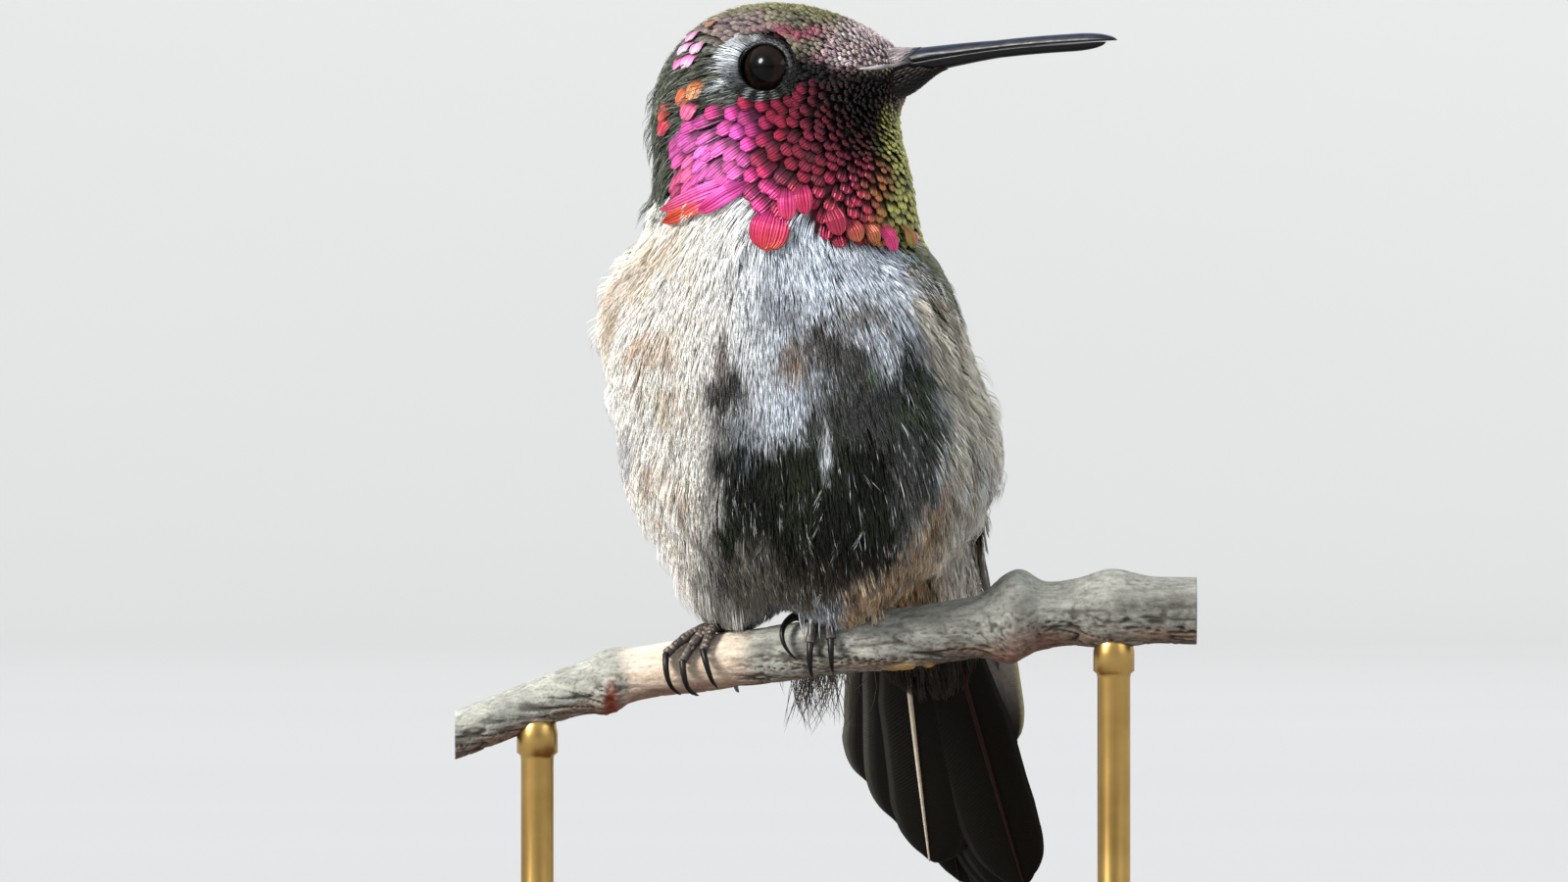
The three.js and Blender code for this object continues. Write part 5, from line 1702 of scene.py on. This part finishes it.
def add_toe(heap, plates, at, swing, end, wide):
    start = TOP_OF_TWIG - 12 if end > TOP_OF_TWIG else TOP_OF_TWIG + 6
    path, out = round_twig(at, (0, swing), (start, end), lambda t: 0.2 + wide * (1 - 0.2 * t), TOE_STEPS)
    length = run_length(path)
    t = np.linspace(0, 1, TOE_STEPS)
    joint = sum(bell(length, share * length[-1], 0.3) for share in (0.3, 0.62, 0.96))
    angle = turns(18)
    knots = 1 + 0.14 * joint[:, None] + 0.04 * np.sin(length * 14)[:, None] * (np.sin(angle) < 0)
    radius = wide * (1.0 - 0.22 * t)[:, None] * knots
    way, side, over = directions(path, out)
    rings = path[:, None] + side[:, None] * (np.cos(angle) * radius)[..., None]
    rings = rings + over[:, None] * (np.sin(angle) * radius * 0.92)[..., None]
    add_rings(heap, rings, mix("1A1513", "3B332E", np.tile(ramp(-0.3, 0.8, np.sin(angle)), (TOE_STEPS, 1))))
    for stop in np.arange(0.2, length[-1] - 0.1, 0.36):
        k = int(np.interp(stop, length, np.arange(TOE_STEPS)))
        for lean in (-0.55, 0.1, 0.75):
            up = unit(over[k] * math.cos(lean) + side[k] * math.sin(lean))
            plates.append((path[k] + up * wide * (1.0 - 0.22 * t[k]) * 0.93, way[k], up, wide / 0.5))


def claw_arch(t):
    return 0.34 + CLAW_RADIUS + 0.36 * np.sin(np.pi * np.minimum(1, t * 1.2) * 0.8) - 0.34 * t**2


def claw(at, swing, end, claw_end, tip, bow):
    start = end + np.sign(claw_end - end) * 2
    path, out = round_twig(at, (swing, tip), (start, claw_end), claw_arch, CLAW_STEPS, bow)
    t = np.linspace(0, 1, CLAW_STEPS)
    radius = CLAW_RADIUS * (1.12 - 0.62 * t) * rounded(t, 0, 4, 0.01)
    rings = tube_rings(path, out, radius * 0.78, radius * 1.1, 14)
    heap = Heap()
    add_rings(heap, rings, mix("1E1A19", "070707", ramp(0, 0.3, t)))
    return heap


def plate_tree():
    """Geometry Nodes: one flat horny plate at each point, laid along its own directions."""
    tree = bpy.data.node_groups.new("horny plates", "GeometryNodeTree")
    tree.interface.new_socket("Geometry", in_out="OUTPUT", socket_type="NodeSocketGeometry")
    tree.interface.new_socket("Geometry", in_out="INPUT", socket_type="NodeSocketGeometry")
    inputs = {}
    for name, kind, value in (
        ("Half length", "Float", 0.0002), ("Half width", "Float", 0.0002), ("Half height", "Float", 0.00006),
        ("Unevenness", "Float", 0.15), ("Seed", "Int", 3), ("Finish", "Material", None),
    ):
        inputs[name] = tree.interface.new_socket(name, in_out="INPUT", socket_type=f"NodeSocket{kind}")
        if value is not None:
            inputs[name].default_value = value
    given = tree.nodes.new("NodeGroupInput").outputs

    def node(kind, inputs=(), out=0, **settings):
        return add_node(tree, kind, inputs, out, **settings)

    def attribute(name, kind="FLOAT_VECTOR"):
        return node("GeometryNodeInputNamedAttribute", {"Name": name}, "Attribute", data_type=kind)

    def maths(operation, a, b):
        return node("ShaderNodeMath", {0: a, 1: b}, operation=operation)

    ball = node("GeometryNodeMeshUVSphere", {"Radius": 1.0, "Segments": 8, "Rings": 6})
    sizes = {"X": given["Half length"], "Y": given["Half width"], "Z": given["Half height"]}
    plate = node("GeometryNodeTransform", {"Geometry": ball, "Scale": node("ShaderNodeCombineXYZ", sizes)})
    way, over, size = attribute("way"), attribute("over"), attribute("size", "FLOAT")
    laid = node("FunctionNodeAlignRotationToVector", {"Vector": way}, axis="X")
    turned = {"Rotation": laid, "Vector": over}
    turned = node("FunctionNodeAlignRotationToVector", turned, axis="Z", pivot_axis="X")
    low = maths("SUBTRACT", 1.0, given["Unevenness"])
    high = maths("ADD", 1.0, given["Unevenness"])
    vary = {2: low, 3: high, "Seed": given["Seed"]}
    vary = node("FunctionNodeRandomValue", vary, 1, data_type="FLOAT")
    scale = maths("MULTIPLY", size, vary)
    spread = {"Points": given["Geometry"], "Instance": plate, "Rotation": turned, "Scale": scale}
    solid = node("GeometryNodeRealizeInstances", {"Geometry": node("GeometryNodeInstanceOnPoints", spread)})
    smooth = node("GeometryNodeSetShadeSmooth", {0: solid})
    done = node("GeometryNodeSetMaterial", {"Geometry": smooth, "Material": given["Finish"]})
    tree.links.new(done, tree.nodes.new("NodeGroupOutput").inputs["Geometry"])
    return tree, inputs


PLATES, PLATE_INPUTS = plate_tree()
PLATE_SIZES = {
    "Half length": 0.00019, "Half width": 0.00017, "Half height": 0.00006,
    "Unevenness": 0.2, "Seed": 5, "Finish": FOOT,
}


def lay_plates(name, plates, colours):
    """Puts a plate at each place, and keeps the outcome as a plain mesh."""
    points, ways, overs, size = (np.array(column) for column in zip(*plates))
    mesh = bpy.data.meshes.new(name + "_places")
    mesh.vertices.add(len(points))
    mesh.vertices.foreach_set("co", (points * MM).ravel())
    shades = np.hstack([colours, np.ones((len(points), 1))])
    for title, kind, field, values in (
        ("way", "FLOAT_VECTOR", "vector", ways), ("over", "FLOAT_VECTOR", "vector", overs),
        ("size", "FLOAT", "value", size), ("Colour", "FLOAT_COLOR", "color", shades),
    ):
        mesh.attributes.new(title, kind, "POINT").data.foreach_set(field, values.ravel())
    places = show(name + "_places", mesh)
    modifier = places.modifiers.new("plates", "NODES")
    modifier.node_group = PLATES
    for title, value in PLATE_SIZES.items():
        modifier[PLATE_INPUTS[title].identifier] = value
    ready = places.evaluated_get(bpy.context.evaluated_depsgraph_get())
    solid = bpy.data.meshes.new_from_object(ready)
    places.modifiers.remove(modifier)
    bpy.data.objects.remove(places)
    solid.name = name
    hand_over(solid)


FRONT = np.array([0.0, -1.0, 0.0])
polar = np.linspace(0.05, np.pi - 0.05, 22)
for name, (at, ankle, wide, pale_tone, toes) in FEET.items():
    heap, plates = Heap(), []
    for swing, end, *_ in toes.values():
        add_toe(heap, plates, at, swing, end, wide)
    palm = perch_centre(at) + [0, 0.25, perch_radius(at) + TOE_CLEARANCE + TOE_RADIUS * 1.2]
    pads = [([0, 0, 0], [0, 0.15, -0.95], 0.85, 0.8, "2B2421")]
    if name == "right":
        pads.append(([0.5, -0.7, 0.1], [0.5, -0.25, -0.35], 0.5, 0.45, "5E2420"))
    for aside, run, half_side, half_over, tone in pads:
        path = palm + aside + np.cos(polar)[:, None] * np.array(run)
        rings = tube_rings(path, -FRONT, half_side * np.sin(polar), half_over * np.sin(polar), 20)
        add_rings(heap, rings, paint(tone))
    make(f"scaly_foot_{name}", heap, FOOT, (f"foot_{name}",))

    t = np.linspace(0, 1, SHANK_STEPS)
    low, high = palm + [0, 0, 0.5], palm + np.array(ankle)
    path = low + (high - low) * t[:, None]
    radius = 0.45 * (1 + 0.35 * bell(t, 0, 0.16))
    heap = Heap()
    add_rings(heap, tube_rings(path, -FRONT, radius, radius, 16), mix("4A2620", "241D1A", ramp(0.15, 0.5, t)))
    make(f"scaly_shank_{name}", heap, FOOT, (f"shank_{name}",))
    way, side, over = directions(path, FRONT)
    plates += [(path[k] + over[k] * 0.42, way[k], over[k], 1.1) for k in range(3, SHANK_STEPS - 2, 5)]
    # The plates' pale tone is painted highlight: strong on the right foot, in the light, and faint on the
    # left one, in shade.
    tones = mix("2C2521", pale_tone, rng.random(len(plates)) ** 1.5)
    lay_plates(f"foot_plates_{name}", plates, tones)
    for digit, shape in toes.items():
        make(f"curved_claw_{name}_{digit}", claw(at, *shape), CLAW, (f"claw_{name}_{digit}",))


# ---- Loose strands: pale ones over the left foot, and the dark fluff under the vent -----------------

def strands(heap, starts, ends, bow, half, tones):
    """Fine barbs between given places, bowed to one side."""
    share = np.linspace(0, 1, 7)[:, None]
    path = starts[:, None] + (ends - starts)[:, None] * share + np.sin(np.pi * share) * bow[:, None]
    add_barbs(heap, path, np.broadcast_to(FRONT, path.shape), half, plain(tones), patch_near(starts))


heap = Heap()
n = 14
starts = STAND_ON + rng.uniform([1.2, -1.4, 1.4], [3.6, -1.0, 2.2], (n, 3))
ends = starts[:, 0] + rng.normal(0.2, 0.3, n)
ends = np.column_stack([ends, np.full(n, STAND_ON[1] - 3.7), STAND_ON[2] + rng.uniform(-1.2, 0.2, n)])
bow = np.column_stack([rng.normal(0, 0.15, n), np.full(n, -0.45), np.full(n, 0.2)])
half = rng.uniform(0.04, 0.09, n)
strands(heap, starts, ends, bow, half, mix("B9BFC6", "6E7176", rng.random(n)))
n = 230
starts = STAND_ON + rng.uniform([2.0, 3.4, -1.2], [4.3, 5.6, 0.6], (n, 3))
reach = rng.uniform(2.6, 7.2, n)
lean = rng.normal(-0.1, 0.2, n)
ends = starts + np.column_stack([lean * reach, rng.uniform(0.2, 1.6, n), -reach])
bow = np.column_stack([rng.normal(-0.3, 0.8, n), rng.normal(-0.3, 0.3, n), np.zeros(n)])
half = rng.uniform(0.025, 0.045, n)
strands(heap, starts, ends, bow, half, mix("38322C", "8A8378", rng.random(n) ** 1.3))
make("loose_barbs", heap, SOFT, maps=COAT_MAPS)


# ---- Stand ------------------------------------------------------------------------------------------

BASE_HALF, BASE_CORNER = np.array([33.0, 27.0]), 9.0
ROD_FROM_MIDDLE = 21.0


def base_ring(inset, z):
    corner = BASE_CORNER - inset
    quarter = np.linspace(0, 90, 25)
    ring = []
    for sx, sy, first in ((1, 1, 0), (-1, 1, 90), (-1, -1, 180), (1, -1, 270)):
        turn = (first + quarter) * DEG
        centre = np.array([sx, sy]) * (BASE_HALF - inset - corner)
        ring.append(centre + corner * np.stack([np.cos(turn), np.sin(turn)], -1))
    ring = np.vstack(ring)
    return np.column_stack([ring, np.full(len(ring), z)])


steps = [  # how far in from the edge, and how high
    (5.0, 0.0), (1.2, 0.0), (0.55, 0.12), (0.15, 0.5), (0.0, 1.1),
    (0.0, 3.7), (0.12, 4.1), (0.5, 4.3), (0.75, 4.34), (0.8, 4.5),
]
steps += [(1.2 + 1.5 * (1 - math.cos(a)), 4.55 + 1.45 * math.sin(a)) for a in np.linspace(0.15, np.pi / 2, 9)]
steps += [(4.0, 6.0), (8.0, 6.0)]
heap = Heap()
add_rings(heap, np.array([base_ring(*step) for step in steps]), paint("5A3B28"))
make("stand_base_wood", heap, WOOD, ("stand_base",))
for name, side in (("left", -1), ("right", 1)):
    x = side * ROD_FROM_MIDDLE + 3.0
    centre = perch_centre(x)
    top = centre[2] - perch_radius(x) + 1.0
    z, radius = np.array([
        (3.0, 1.0), (3.1, 1.2), (5.6, 1.2), (6.0, 1.2), (6.02, 2.3), (6.35, 2.42), (6.7, 2.3), (6.9, 2.0),
        (7.0, 1.55), (7.3, 1.3), (7.6, 1.2), (top - 3.2, 1.2), (top - 2.9, 1.25), (top - 2.7, 1.5),
        (top - 1.3, 1.5), (top - 0.9, 1.42), (top, 1.3),
    ]).T
    path = np.column_stack([0 * z + centre[0], 0 * z + centre[1], z])
    heap = Heap()
    add_rings(heap, tube_rings(path, -FRONT, radius, radius, 40), paint("B08D4C"))
    make(f"stand_rod_brass_{name}", heap, BRASS, (f"stand_rod_{name}",))


# ---- Room, light and camera -----------------------------------------------------------------------

FLOOR_SIDES = 96
flat_part, sweep = np.linspace(0.001, 4.4, 30), np.linspace(0.05, 1, 24) * np.pi / 2
radius = np.concatenate([flat_part, 4.4 + 1.6 * np.sin(sweep)])
height = np.concatenate([0 * flat_part, 1.6 * (1 - np.cos(sweep))])
angle = turns(FLOOR_SIDES)
points = np.stack([
    radius[:, None] * np.cos(angle), radius[:, None] * np.sin(angle), np.tile(height[:, None], FLOOR_SIDES),
], -1)
a, b, c, d = band(len(radius), FLOOR_SIDES)
quads = np.stack([a, d, c, b], -1).tolist()
floor_mesh = bpy.data.meshes.new("floor")
floor_mesh.from_pydata(points.reshape(-1, 3).tolist(), [], quads + [list(range(FLOOR_SIDES))])
floor_mesh.polygons.foreach_set("use_smooth", [True] * len(floor_mesh.polygons))
floor_mesh.materials.append(floor_finish())
floor = show("floor", floor_mesh)


def sun(name, place, strength, spread, tint):
    light = bpy.data.lights.new(name, "SUN")
    light.energy, light.angle, light.color = strength, spread * DEG, tint
    holder = show(name, light)
    holder.location = place
    holder.rotation_mode = "QUATERNION"
    holder.rotation_quaternion = Vector(place).to_track_quat("Z", "Y")


sun("key", (-1.2, -0.85, 0.8), 5.6, 18, (1.0, 0.98, 0.95))
sun("fill", (1.1, -0.9, 0.35), 1.15, 40, (0.92, 0.96, 1.0))
sun("rim", (0.35, 1.0, 0.9), 0.8, 30, (1.0, 1.0, 1.0))

world = bpy.data.worlds.new("pale room")
world.use_nodes = True
background = world.node_tree.nodes["Background"].inputs
background["Color"].default_value = (0.90, 0.95, 1.0, 1)
background["Strength"].default_value = 0.9
bpy.context.scene.world = world
bpy.context.scene.view_settings.view_transform = "Standard"

camera = bpy.data.cameras.new("camera")
camera.sensor_width, camera.lens = 36, 630
camera.clip_start, camera.clip_end = 0.1, 60
eye = show("camera", camera)
eye.location = (-0.003, -2.004, 0.047571)
eye.rotation_euler = (math.pi / 2, 0, 0)
bpy.context.scene.camera = eye
